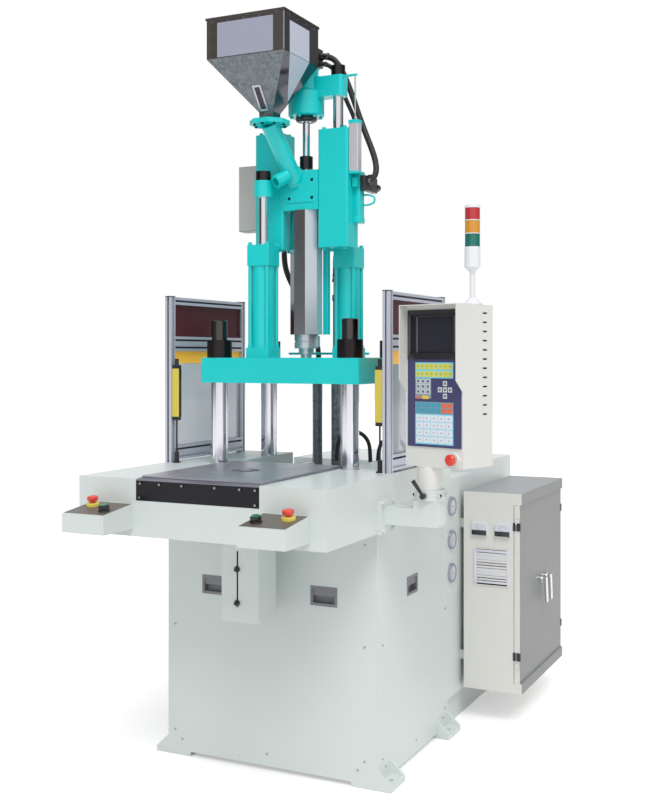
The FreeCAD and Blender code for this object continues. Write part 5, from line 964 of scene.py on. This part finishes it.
# Each hose: diameter, the two bodies that it runs between with two points, which nothing reads,
# or its one body, and the node that it stands for; a hose between two bodies is left fixed in place.
HOSES = {
    "pressure_hose": (HOSE, ("carriage", "injection", (0.2, 0, 2.36), (0.08, 0, 2.81)), None),
    "return_hose": (SMALL_HOSE, ("carriage", "injection", (0.19, 0, 2.42), (0.08, 0, 2.78)), "motor_hoses"),
    "right_carriage_hose": (HOSE, ("clamp", "carriage", (-0.08, 0.38, 1.99), (0.10, 0.02, 2.11)), None),
    "left_carriage_hose": (HOSE, ("clamp", "carriage", (-0.18, 0.42, 1.58), (-0.16, 0.05, 2.10)),
                           "carriage_hoses"),
    "left_deck_hose": (SMALL_HOSE, "machine", None),
    "right_deck_hose": (SMALL_HOSE, "machine", "deck_hoses"),
}

# The hose ends on each body: hose, which end (0 or -1) and the way that its port faces.
UNIONS = {
    "motor_unions": ("injection", (("pressure_hose", 0, X_AXIS), ("return_hose", 0, X_AXIS))),
    "carriage_unions": ("carriage", (("pressure_hose", -1, X_AXIS), ("return_hose", -1, Y_AXIS),
                                     ("right_carriage_hose", -1, Y_AXIS),
                                     ("left_carriage_hose", -1, Y_AXIS))),
    "riser_unions": ("clamp", (("right_carriage_hose", 0, Z_AXIS), ("left_carriage_hose", 0, Z_AXIS))),
    "deck_unions": ("machine", (("left_deck_hose", 0, Z_AXIS), ("left_deck_hose", -1, Z_AXIS),
                                ("right_deck_hose", 0, Z_AXIS), ("right_deck_hose", -1, Z_AXIS))),
}


def hose_line(points):
    """A smooth open curve with the route's points as its control points."""
    curve = bpy.data.curves.new("route", "CURVE")
    curve.dimensions = "3D"
    spline = curve.splines.new("NURBS")
    spline.points.add(len(points) - 1)
    for place, point in zip(points, spline.points):
        point.co = (*place, 1)
    spline.order_u = 3
    spline.use_endpoint_u = True
    spline.resolution_u = 12
    line = bpy.data.objects.new("route", curve)
    bpy.context.scene.collection.objects.link(line)
    return line


def hose(name, points, diameter, carriers):
    """A free hose along a smooth route, as a tube that rides on one body, or is left fixed in place when it
    runs between two.
    """
    line = hose_line(points)
    bpy.context.view_layer.update()
    path = bpy.data.meshes.new_from_object(line.evaluated_get(bpy.context.evaluated_depsgraph_get()))
    line.data.bevel_depth = diameter / 2
    line.data.bevel_resolution = 5
    line.data.use_fill_caps = True
    only(line)
    bpy.ops.object.convert(target="MESH")
    tube = bpy.context.object
    tube.data.materials.clear()
    tube.data.materials.append(made("hose rubber"))
    only(tube)
    bpy.ops.object.shade_smooth_by_angle(angle=math.radians(40))
    tube.name = name
    tube.data.name = name
    if isinstance(carriers, str):
        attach(tube, carriers)
    else:
        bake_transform(tube)
    return tube


def ferrule(place, direction, diameter):
    """A crimped sleeve and union nut that close a hose's end on its port."""
    place = Vector(place)
    nut = drum(place, direction, diameter * 0.66, diameter * 0.55, diameter * 0.05, 6)
    sleeve = drum(place + direction * diameter * 0.5, direction, diameter * 0.56, diameter * 1.1,
                  diameter * 0.06, 24)
    return joined([nut, sleeve])


class MACHINE_OT_hoses(bpy.types.Operator):
    """Lay the hydraulic hoses from port to port and close their ends with unions"""

    bl_idname = "machine.hoses"
    bl_label = "Hoses"

    def execute(self, context):
        for name, (diameter, carriers, node) in HOSES.items():
            tube = hose(name, ROUTES[name], diameter, carriers)
            if node:
                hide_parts(node)
        for name, (body, ends) in UNIONS.items():
            pieces = [ferrule(ROUTES[route][end], out, HOSES[route][0]) for route, end, out in ends]
            fitted(pieces, "union steel", name, body)
        return {"FINISHED"}


# ---------------------------------------------------------------- control panel
# The keypad's fields and keys, in the panel's own frame: sideways ranges and heights.
FIELD_U = (-.080, .088)
KEY_U = (-.076, .084)
NUMBER_U = (-.076, -.013)
NUMBER_Z = (1.462, 1.515)
FUNCTION_ROWS = ((1.522, 1.543), (1.549, 1.570))
MODE_ROWS = ((1.396, 1.412), (1.415, 1.431))
MODE_U = (-.076, .034)
HEAT_U = (.036, .084)
MANUAL_Z = (1.288, 1.388)
CROSS = ((.052, 1.500), (.052, 1.478), (.052, 1.456), (.030, 1.478), (.074, 1.478))
MARK_HEIGHT = .0014


def key(u, z, width, height, thickness=0.0012):
    """A raised key of the membrane, in the panel's own frame."""
    return block((u - width / 2, PANEL_FACE - thickness, z - height / 2),
                 (u + width / 2, PANEL_FACE + 0.0002, z + height / 2), 0.0006, 1)


def grid(u_range, z_range, columns, rows):
    """The middles, the width and the height of a grid's cells."""
    gap = sizes().key_gap
    width = (u_range[1] - u_range[0] - gap * (columns - 1)) / columns
    height = (z_range[1] - z_range[0] - gap * (rows - 1)) / rows
    middles = [(u_range[0] + width / 2 + column * (width + gap),
                z_range[0] + height / 2 + row * (height + gap))
               for column in range(columns) for row in range(rows)]
    return middles, width, height


def key_grid(u_range, z_range, columns, rows):
    """Keys in a grid, each its own raised pad."""
    middles, width, height = grid(u_range, z_range, columns, rows)
    return [key(u, z, width, height) for u, z in middles]


def key_marks(u_range, z_range, columns, rows, size):
    """A small plain mark in the middle of each key of a grid."""
    return [key(u, z, size, size * 0.8, MARK_HEIGHT) for u, z in grid(u_range, z_range, columns, rows)[0]]


def field(u_range, z_range):
    """A flat printed field of the membrane."""
    return block((u_range[0], PANEL_FACE - 0.0005, z_range[0]), (u_range[1], PANEL_FACE + 0.0002, z_range[1]),
                 0.0002, 1)


def panel_part(pieces, name, finish):
    """Join pieces, bring them from the panel's own frame to their place and seat them there."""
    piece = joined(pieces)
    piece.data.transform(PANEL_PLACE)
    return fitted([piece], finish, name, "panel")


class MACHINE_OT_control_panel(bpy.types.Operator):
    """Fit the screen, the key fields and the keys to the control panel"""

    bl_idname = "machine.control_panel"
    bl_label = "Control panel"

    def execute(self, context):
        self.screen()
        self.fields()
        self.keys()
        self.marks()
        return {"FINISHED"}

    def screen(self):
        """The screen's black surround, its glass and a pale strip at its left as a painted highlight of the
        glass's edge.
        """
        surround = block((-.1145, PANEL_FACE - .0030, 1.585), (.1205, PANEL_FACE + .0002, 1.760), 0.0006, 2)
        edit_faces(surround, lambda centre, normal: normal.y < -0.9)
        bpy.ops.mesh.inset(thickness=0.024)
        bpy.ops.mesh.extrude_region_move(TRANSFORM_OT_translate={"value": (0, 0.0024, 0)})
        leave_edit()
        panel_part([surround], "screen_surround", "screen surround")
        glass = block((-.062, PANEL_FACE - .0012, 1.6115), (.078, PANEL_FACE - .0004, 1.7325), 0.0003, 1)
        panel_part([glass], "screen_glass", "screen glass")
        # Painted highlight: a pale strip along the glass's left edge.
        edge = block((-.0740, PANEL_FACE - .0020, 1.610), (-.0690, PANEL_FACE - .0005, 1.734), 0.0005, 1)
        panel_part([edge], "screen_edge", "screen edge")

    def fields(self):
        """The printed fields under the keys."""
        panel_part([field(FIELD_U, (1.518, 1.574)), field(FIELD_U, (1.284, 1.392))],
                   "cyan_fields", "field cyan")
        panel_part([field((FIELD_U[0], -.009), (1.446, 1.518)), field(FIELD_U, (1.3925, 1.434))],
                   "slate_fields", "field slate")

    def keys(self):
        """The keys from top to bottom."""
        rows = [key_grid(KEY_U, row, 8, 1) for row in FUNCTION_ROWS]
        panel_part(rows[0] + rows[1], "function_keys", "key yellow")
        panel_part(key_grid(NUMBER_U, NUMBER_Z, 3, 3), "number_keys", "key grey")
        panel_part([key(-.066, 1.450, .016, .012)], "clear_key", "key orange")
        panel_part([key(-.034, 1.450, .030, .012)], "entry_key", "key amber")
        panel_part([key(u, z, .018, .018) for u, z in CROSS], "arrow_keys", "key grey")
        rows = [key_grid(MODE_U, row, 5, 1) for row in MODE_ROWS]
        panel_part(rows[0] + rows[1], "mode_keys", "key teal")
        rows = [key_grid(HEAT_U, row, 2, 1) for row in MODE_ROWS]
        panel_part(rows[0] + rows[1], "heat_keys", "key orange")
        panel_part(key_grid(KEY_U, MANUAL_Z, 5, 4), "manual_keys", "key white")

    def marks(self):
        """Plain marks on the keys."""
        dark = key_marks(NUMBER_U, NUMBER_Z, 3, 3, .0115)
        dark += [key(u, z, .009, .009, MARK_HEIGHT) for u, z in CROSS]
        panel_part(dark, "dark_key_marks", "key slate")
        panel_part(key_marks(KEY_U, MANUAL_Z, 5, 4, .006), "manual_key_marks", "key mark")
        rows = [key_marks(KEY_U, row, 8, 1, .007) for row in FUNCTION_ROWS]
        panel_part(rows[0] + rows[1], "function_key_marks", "key mark lime")


# ---------------------------------------------------------------- control boxes
class MACHINE_OT_control_boxes(bpy.types.Operator):
    """Fit the bare top plates of the two control boxes"""

    bl_idname = "machine.control_boxes"
    bl_label = "Control boxes"

    def execute(self, context):
        length = (BOX_REAR_Y - BOX_FRONT_Y) / math.cos(BOX_SLOPE)
        for side, name in ((-1, "left"), (1, "right")):
            low, high = sorted((side * BOX_X[0], side * BOX_X[1]))
            middle = (low + high) / 2
            half = (high - low) / 2 - 0.005
            plate = block((-half, 0.006, 0), (half, length - 0.004, 0.0009), 0.0004, 1)
            to_slope(plate, middle, BOX_FRONT_Y)
            fitted([plate], "box top plate", name + "_box_plate", "machine")
            screws = []
            for x in (-half + 0.006, half - 0.006):
                for y in (0.012, length - 0.010):
                    screws.append(to_slope(pan_head((x, y, 0.0008), Z_AXIS, 0.006), middle, BOX_FRONT_Y))
            fitted(screws, "zinc plated screws", name + "_box_screws", "machine")
        return {"FINISHED"}


# ---------------------------------------------------------------- gauges and meters
def dial_marks(centre, radius, count, start, sweep):
    """Scale strokes round a dial that faces +X, every fifth one longer and wider."""
    strokes = []
    for index in range(count):
        length, half = (0.0034, 0.0004) if index % 5 == 0 else (0.002, 0.00025)
        stroke = block((0, -half, radius - length), (0.0003, half, radius))
        turn = Matrix.Rotation(math.radians(start + sweep * index / (count - 1)), 4, "X")
        stroke.data.transform(Matrix.Translation(centre) @ turn)
        strokes.append(stroke)
    return strokes


class MACHINE_OT_gauges(bpy.types.Operator):
    """Fit dials, needles and glasses to the gauges, and scales to the electric meters"""

    bl_idname = "machine.gauges"
    bl_label = "Gauges and meters"

    def execute(self, context):
        self.dials()
        self.meters()
        return {"FINISHED"}

    def dials(self):
        """Dial, strokes, needle and glass of each round gauge."""
        dials, strokes, needles, glasses = [], [], [], []
        for z in GAUGE_HEIGHTS:
            centre = Vector((GAUGE_DIAL_X, GAUGE_Y, z))
            dials.append(drum(centre, X_AXIS, 0.0325, 0.0006, 0.0002, 48))
            strokes += dial_marks(centre + X_AXIS * 0.0006, 0.029, 31, -135, 270)
            needle = block((0.0007, -0.0006, -0.006), (0.0013, 0.0006, 0.024), 0.0002, 1)
            hub = drum((0.0006, 0, 0), X_AXIS, 0.003, 0.0018, 0.0004, 20)
            needle = joined([needle, hub])
            needle.data.transform(Matrix.Translation(centre) @ Matrix.Rotation(math.radians(118), 4, "X"))
            needles.append(needle)
            glasses.append(drum(centre + X_AXIS * 0.0028, X_AXIS, 0.0327, 0.0008, 0.0002, 48))
        for pieces, finish, name in ((dials, "dial white", "gauge_dials"),
                                     (strokes, "dial black", "gauge_scales"),
                                     (needles, "dial black", "gauge_needles"),
                                     (glasses, "gauge glass", "gauge_glasses")):
            fitted(pieces, finish, name, "machine")

    def meters(self):
        """White scale above, black cover below, with a fine needle."""
        faces, covers, needles = [], [], []
        for x in METER_X:
            covers.append(block((x - .033, METER_FRONT - .0035, METER_Z - .027),
                                (x + .033, METER_FRONT + .002, METER_Z - .006), .0014, 2))
            faces.append(block((x - .0325, METER_FRONT - .0012, METER_Z - .0062),
                               (x + .0325, METER_FRONT + .0008, METER_Z + .0268), .0006, 1))
            for index in range(9):
                tick = block((-.0003, 0, .0212), (.0003, .0004, .0242))
                tick.data.transform(Matrix.Translation((x, METER_FRONT - .0016, METER_Z - .006)) @
                                    Matrix.Rotation(math.radians(-44 + 11 * index), 4, "Y"))
                needles.append(tick)
            needle = block((-.0003, 0, 0), (.0003, .0004, .0205))
            needle.data.transform(Matrix.Translation((x, METER_FRONT - .0018, METER_Z - .0062)) @
                                  Matrix.Rotation(math.radians(-40), 4, "Y"))
            needles.append(needle)
        fitted(faces, "dial white", "meter_scales", "machine")
        fitted(covers, "meter black", "meter_covers", "machine")
        fitted(needles, "dial black", "meter_needles", "machine")


# ---------------------------------------------------------------- hopper
class MACHINE_OT_hopper(bpy.types.Operator):
    """Fit the hopper's bare plate, sight strip, seams and flange bolts"""

    bl_idname = "machine.hopper"
    bl_label = "Hopper fittings"

    def execute(self, context):
        plate = block((-0.203, HOPPER_FRONT - .0012, 2.7585), (0.0445, HOPPER_FRONT + .0002, 2.893),
                      0.0004, 1)
        fitted([plate], "hopper sheet front", "hopper_front_plate", "carriage")
        self.side_sheet()
        self.sight()
        self.flanges()
        self.rivets()
        self.flange_bolts()
        return {"FINISHED"}

    def side_sheet(self):
        """Painted reflection: a pale sheet on the right wall that runs down the funnel's right face to a
        point.
        """
        wall = block((.0914, -.3762, 2.757), (.0923, -.2108, 2.880), .0003, 1)
        point = drum((0, 0, 0), Z_AXIS, 1, 1, 0, 3)
        foot = [vertex.co.copy() for vertex in point.data.vertices if vertex.co.z < 0.5]
        corners = [Vector((.0921, -.3762, 2.755)), Vector((.0921, -.2108, 2.755)),
                   Vector((-.0088, -.2060, 2.608))]
        out = Vector((.8247, 0, -.5656))
        turned = (foot[1] - foot[0]).cross(foot[2] - foot[0]).z
        if (corners[1] - corners[0]).cross(corners[2] - corners[0]).dot(out) * turned < 0:
            corners.reverse()
        source = Matrix((foot[1] - foot[0], foot[2] - foot[0], Z_AXIS)).transposed().to_4x4()
        target = Matrix((corners[1] - corners[0], corners[2] - corners[0], out * 0.0008))
        point.data.transform(Matrix.Translation(corners[0]) @ target.transposed().to_4x4() @
                             source.inverted() @ Matrix.Translation(-foot[0]))
        fitted([wall, point], "hopper sheet side", "hopper_side_painted_reflection", "carriage")

    def sight(self):
        """A frame and a strip over the sight slot of the sloping front, the strip tinted dark as painted
        shade of the hopper's inside.
        """
        strips = [block((-.019, -.003, -.056), (-.0115, 0, .056), .0007),
                  block((.0115, -.003, -.056), (.019, 0, .056), .0007),
                  block((-.0116, -.0029, -.056), (.0116, 0, -.047), .0007),
                  block((-.0116, -.0029, .047), (.0116, 0, .056), .0007)]
        # Painted shade: the pane is tinted dark for the hopper's shaded inside.
        pane = block((-.0116, -.0012, -.0472), (.0116, -.0004, .0472), .0002, 1)
        place = (Matrix.Translation((-0.074, -0.3085, 2.6115)) @
                 Matrix.Rotation(math.atan2(0.151, 0.191), 4, "X"))
        for pieces, finish, name in ((strips, "sight frame steel", "sight_frame"),
                                     ([pane], "sight pane", "sight_pane")):
            piece = joined(pieces)
            piece.data.transform(place)
            fitted([piece], finish, name, "carriage")

    def flanges(self):
        """Folded flanges round the walls, those on the right wall darkened as a painted dark reflection, and
        a pale strip on the near corner as a painted highlight.
        """
        low_z, high_z = HOPPER_WALL
        front = [block((x - .006, HOPPER_FRONT - .001, low_z), (x + .006, HOPPER_FRONT, high_z), .0004, 1)
                 for x in (-.2445, .0825)]
        fitted(front, "brushed flange", "hopper_flanges", "carriage")
        side = [block((HOPPER_RIGHT, low_y, low_z), (HOPPER_RIGHT + .001, high_y, high_z), .0004, 1)
                for low_y, high_y in ((-.4196, -.3760), (-.2110, -.1325))]
        side.append(block((HOPPER_RIGHT, -.3761, 2.879), (HOPPER_RIGHT + .0009, -.2109, high_z), .0004, 1))
        # The right wall's flanges and top band carry the painted dark reflection.
        fitted(side, "dark flange", "hopper_side_flanges", "carriage")
        # A pale strip on the near corner: a painted highlight.
        corner_highlight = block((.0905, -.4230, low_z), (.0928, -.4207, high_z), .0006)
        fitted([corner_highlight], "bright fold", "hopper_corner_highlight", "carriage")

    def rivets(self):
        """Rivets under the rim."""
        front = [(x, -.4224, 2.899) for x in (-.225, -.155, -.085, -.015, .060)]
        right = [(.0924, y, 2.899) for y in (-.380, -.310, -.240, -.170)]
        rivets = [spread(pan_head(places[0], out, .006), places[0], places)
                  for places, out in ((front, FORWARD), (right, X_AXIS))]
        fitted(rivets, "zinc plated screws", "hopper_rivets", "carriage")

    def flange_bolts(self):
        """Hexagon bolts under the feed pipe's eight-sided flange."""
        places = []
        for index in range(8):
            turn = math.radians(45 * index)
            places.append((OUTLET[0] + FLANGE_BOLTS * math.cos(turn),
                           OUTLET[1] + FLANGE_BOLTS * math.sin(turn), 2.5162))
        bolts = spread(hexagon_head(places[0], DOWN, 0.010, 0.005), places[0], places)
        fitted([bolts], "blackened steel", "chute_flange_bolts", "carriage")


# ---------------------------------------------------------------- fasteners
class MACHINE_OT_fasteners(bpy.types.Operator):
    """Fit screws and bolts, the cabinet's hinges and grille, the transducer's brackets, the valve and the
    gland ring
    """

    bl_idname = "machine.fasteners"
    bl_label = "Fasteners"

    def execute(self, context):
        self.panel_screws()
        self.cover_plate_screws()
        self.feed_block_screws()
        self.arm_bolts()
        self.cabinet_hinges()
        self.cabinet_grille()
        self.transducer_ends()
        self.valve()
        self.gland_ring()
        return {"FINISHED"}

    def panel_screws(self):
        """Pan heads along the edges of the base's sheet panels."""
        size = sizes().panel_screw
        places = [(x, BASE_FRONT, z) for x in (-0.424, 0.408) for z in (0.100, 0.522, 0.900)]
        places += [(x, BASE_FRONT, 0.065) for x in (-0.390, -0.004, 0.380)]
        pieces = [spread(pan_head(places[0], FORWARD, size), places[0], places)]
        for side in (-1, 1):
            x = side * BASE_SIDE
            places = [(x, y, z) for y in (-0.328, 0.345) for z in (0.100, 0.522)]
            places += [(x, y, 0.065) for y in (-0.300, 0.010, 0.320)]
            pieces.append(spread(pan_head(places[0], (side, 0, 0), size), places[0], places))
        fitted(pieces, "zinc plated screws", "panel_screws", "machine")

    def cover_plate_screws(self):
        """Screws of the black plate in front of the table."""
        places = [(x, PLATE_FRONT, 1.1475) for x in (-0.229, -0.148, -0.055, 0.078, 0.176, 0.236)]
        places += [(x, PLATE_FRONT, 1.098) for x in (-0.232, 0.236)]
        screws = spread(pan_head(places[0], FORWARD, 0.009), places[0], places)
        fitted([screws], "zinc plated screws", "cover_plate_screws", "machine")

    def feed_block_screws(self):
        """Socket screws sunk in the feed block's holes."""
        places = [(x, -0.1010, z) for x in (-0.052, 0.052) for z in (2.238, 2.310)]
        screws = spread(socket_head(places[0], FORWARD, sizes().socket_screw, 0.006), places[0], places)
        fitted([screws], "blackened steel", "feed_block_screws", "carriage")

    def cabinet_hinges(self):
        """Black hinges on the cabinet's corners: one leaf on the cabinet, one on the door."""
        for name, front, back in (("front", 0.517, 0.5209), ("rear", 1.2211, 1.225)):
            for body, low, high in (("machine", 0.703, 0.7155), ("door_" + name, 0.719, 0.737)):
                leaves = [block((low, front, z), (high, back, z + 0.035), 0.001) for z in (0.285, 0.843)]
                fitted(leaves, "black paint", name + "_hinges_" + body, body)

    def cabinet_grille(self):
        """Pale moulded grille over the cabinet's vent slots."""
        low_x, high_x, low_z, high_z = 0.526, 0.684, 0.608, 0.753
        border, back = 0.010, CABINET_FRONT - 0.0001
        bars = [block((low_x, 0.516, z), (high_x, back, z + border), 0.0015)
                for z in (low_z, high_z - border)]
        bars += [block((x, 0.5162, low_z + 0.001), (x + border, back, high_z - 0.001), 0.0015)
                 for x in (low_x, high_x - border)]
        for index in range(11):
            z = low_z + 0.0128 + index * 0.0111
            bars.append(block((low_x + 0.009, 0.5172, z), (high_x - 0.009, 0.5205, z + 0.0078), 0.0012))
        fitted(bars, "grille lilac", "cabinet_grille", "machine")

    def transducer_ends(self):
        """Turquoise brackets that close the transducer's ends."""
        low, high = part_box("transducer")
        edge = Vector((0.0012, 0.0012, 0))
        brackets = []
        for z, height in ((2.325, 0.010), (2.525, 0.015)):
            top = Vector((high.x, high.y, z + height))
            brackets.append(block(Vector((low.x, low.y, z)) - edge, top + edge, 0.001))
        fitted(brackets, "turquoise paint", "transducer_brackets", "carriage")

    def valve(self):
        """Manifold with its foot, and the directional valve with its solenoid beside it."""
        manifold = [block((0.2065, -0.050, 2.150), (0.2385, -0.006, 2.2685), 0.002),
                    block((0.2060, -0.056, 2.132), (0.2400, -0.003, 2.158), 0.003)]
        fitted(manifold, "turquoise paint", "manifold_foot", "carriage")
        body = block((0.2405, -0.055, 2.262), (0.266, 0.066, 2.322), 0.003)
        coil = drum((0.254, 0.065, 2.288), Y_AXIS, 0.015, 0.032, 0.003, 32)
        nut = drum((0.254, 0.096, 2.288), Y_AXIS, 0.008, 0.007, 0.001, 6)
        plug = block((0.242, 0.012, 2.3215), (0.265, 0.058, 2.334), 0.003)
        fitted([body, coil, nut, plug], "black paint", "carriage_valve", "carriage")

    def gland_ring(self):
        """Black gland ring round the screw's shaft, under the crosshead's drum."""
        deselect()
        bpy.ops.mesh.primitive_torus_add(location=(0, -0.057, 2.568), major_radius=0.032, minor_radius=0.0125,
                                         major_segments=40, minor_segments=12)
        fitted([settle(bpy.context.object)], "black paint", "gland_ring", "injection")

    def arm_bolts(self):
        """Hexagon bolts of the panel arm's flange and screws round its collar."""
        places = [(0.469, y, z) for y in (-0.452, -0.370) for z in (0.972, 1.066)]
        pieces = [spread(hexagon_head(places[0], X_AXIS, 0.016, 0.008), places[0], places)]
        for angle in (-150, -100, -30, 20, 90, 160):
            turn = math.radians(angle)
            out = Vector((math.cos(turn), math.sin(turn), 0))
            pieces.append(socket_head(ARM_COLLAR + out * 0.0572, out, 0.010, 0.004))
        fitted(pieces, "blackened steel", "arm_bolts", "machine")


# ---------------------------------------------------------------- stage
# What metal reflects at each bearing: degrees from +X and brightness.
REFLECTED = ((-179.9, 0.4), (-176, 0.15), (-170, 0.08), (-111, 0.08), (-103, 1.0), (-22, 1.0), (-16, 0.5),
             (17, 0.42), (22, 0.1), (44, 0.1), (54, 0.4), (98, 0.4), (106, 0.95), (130, 0.95), (138, 0.4),
             (179.9, 0.4))
# How bright the floor itself looks to the camera and in reflections.
FLOOR_GLOW = 0.34
# The photograph's viewpoint: place, turn about the upright, and the horizon's row in an image of this height.
CAMERA_PLACE = (2.082, -4.123, 1.600)
CAMERA_TURN = math.radians(25.92)
HORIZON_ROW = 355
IMAGE_HEIGHT = 800


class MACHINE_OT_stage(bpy.types.Operator):
    """Set the floor, the lamps, the world and the camera"""

    bl_idname = "machine.stage"
    bl_label = "Stage"

    def execute(self, context):
        scene = context.scene
        scene.view_settings.view_transform = "Standard"
        self.floor()
        self.lamps()
        self.world(scene)
        self.camera(scene)
        return {"FINISHED"}

    def floor(self):
        """A plain pale floor."""
        deselect()
        bpy.ops.mesh.primitive_plane_add(size=60, location=(0, 0, -0.0005))
        floor = settle(bpy.context.object)
        floor.name = "floor"
        finish = Finish("floor white", Base_Color=(0.80, 0.80, 0.80, 1), Roughness=0.85,
                        Specular_IOR_Level=0.1)
        rays = finish.node("LightPath").outputs
        glow = finish.maths("MAXIMUM", rays["Is Camera Ray"], rays["Is Glossy Ray"])
        finish.shade(Emission_Color=(1, 1, 1, 1),
                     Emission_Strength=finish.maths("MULTIPLY", glow, FLOOR_GLOW))
        floor.data.materials.append(finish.material)

    def lamps(self):
        """A soft key lamp from high on the front right."""
        deselect()
        bpy.ops.object.light_add(type="SUN", location=(3, -5, 7))
        lamp = bpy.context.object
        lamp.name = "key lamp"
        lamp.data.energy = stage_settings().key
        lamp.data.angle = math.radians(28)
        lamp.rotation_euler = Vector((-0.36, 0.50, -0.79)).to_track_quat("-Z", "Y").to_euler()

    def world(self, scene):
        """White behind the machine, an even sky for its light, and a studio with dark sides to reflect."""
        world = bpy.data.worlds.new("studio")
        scene.world = world
        world.use_nodes = True
        nodes = Nodes(world.node_tree)
        rays = nodes.node("LightPath").outputs
        seen = nodes.maths("MAXIMUM", rays["Is Camera Ray"], rays["Is Transmission Ray"])
        level = nodes.node("Mix", Factor=rays["Is Glossy Ray"], A=nodes.remap(seen, stage_settings().sky, 1),
                           B=self.studio(nodes))
        nodes.feed(world.node_tree.nodes["Background"], Color=(1, 1, 1, 1), Strength=level.outputs["Result"])

    def studio(self, nodes):
        """Brightness by direction: a bright front, dark sides and a pale back; even above and below."""
        way = nodes.node("SeparateXYZ", Vector=nodes.where("Generated")).outputs
        angle = nodes.maths("ARCTAN2", way["Y"], way["X"])
        turn = nodes.maths("ADD", nodes.maths("DIVIDE", angle, math.tau), 0.5)
        ramp = nodes.node("ValToRGB", Fac=turn)
        stops = ramp.color_ramp.elements
        for degrees, value in REFLECTED:
            stops.new((degrees + 180) / 360).color = (value, value, value, 1)
        stops.remove(stops[0])
        stops.remove(stops[len(stops) - 1])
        height = nodes.remap(nodes.maths("ABSOLUTE", way["Z"], 0), 0, 1, 0.55, 0.85)
        return nodes.node("Mix", Factor=height, A=ramp.outputs["Color"], B=0.8).outputs["Result"]

    def camera(self, scene):
        """The photograph's viewpoint."""
        data = bpy.data.cameras.new("camera")
        camera = bpy.data.objects.new("camera", data)
        scene.collection.objects.link(camera)
        camera.location = CAMERA_PLACE
        camera.rotation_euler = (math.radians(90), 0, CAMERA_TURN)
        data.lens = stage_settings().lens
        data.sensor_width = 36
        data.shift_y = (HORIZON_ROW - IMAGE_HEIGHT / 2) / IMAGE_HEIGHT
        scene.camera = camera


class MACHINE_PT_panel(bpy.types.Panel):
    """The machine's operators in the order they are run"""

    bl_label = "Moulding machine"
    bl_idname = "MACHINE_PT_panel"
    bl_space_type = "VIEW_3D"
    bl_region_type = "UI"
    bl_category = "Machine"

    def draw(self, context):
        for operator in OPERATORS:
            self.layout.operator(operator.bl_idname)
        for group in ("machine_colours", "machine_sizes", "machine_stage"):
            settings = getattr(context.scene, group)
            for name in settings.__annotations__:
                self.layout.prop(settings, name)


OPERATORS = (MACHINE_OT_stage, MACHINE_OT_finishes, MACHINE_OT_hoses, MACHINE_OT_control_panel,
             MACHINE_OT_control_boxes, MACHINE_OT_gauges, MACHINE_OT_hopper, MACHINE_OT_fasteners)
GROUPS = (MachineColours, MachineSizes, MachineStage)


def register():
    """Register the classes and attach the settings to the scene."""
    for item in GROUPS + OPERATORS + (MACHINE_PT_panel,):
        bpy.utils.register_class(item)
    bpy.types.Scene.machine_colours = PointerProperty(type=MachineColours)
    bpy.types.Scene.machine_sizes = PointerProperty(type=MachineSizes)
    bpy.types.Scene.machine_stage = PointerProperty(type=MachineStage)


def unregister():
    """Undo register."""
    del bpy.types.Scene.machine_stage
    del bpy.types.Scene.machine_sizes
    del bpy.types.Scene.machine_colours
    for item in reversed(GROUPS + OPERATORS + (MACHINE_PT_panel,)):
        bpy.utils.unregister_class(item)


def main():
    """Run every operator in order."""
    register()
    bpy.ops.machine.stage()
    bpy.ops.machine.finishes()
    bpy.ops.machine.hoses()
    bpy.ops.machine.control_panel()
    bpy.ops.machine.control_boxes()
    bpy.ops.machine.gauges()
    bpy.ops.machine.hopper()
    bpy.ops.machine.fasteners()


if __name__ == "__main__":
    main()
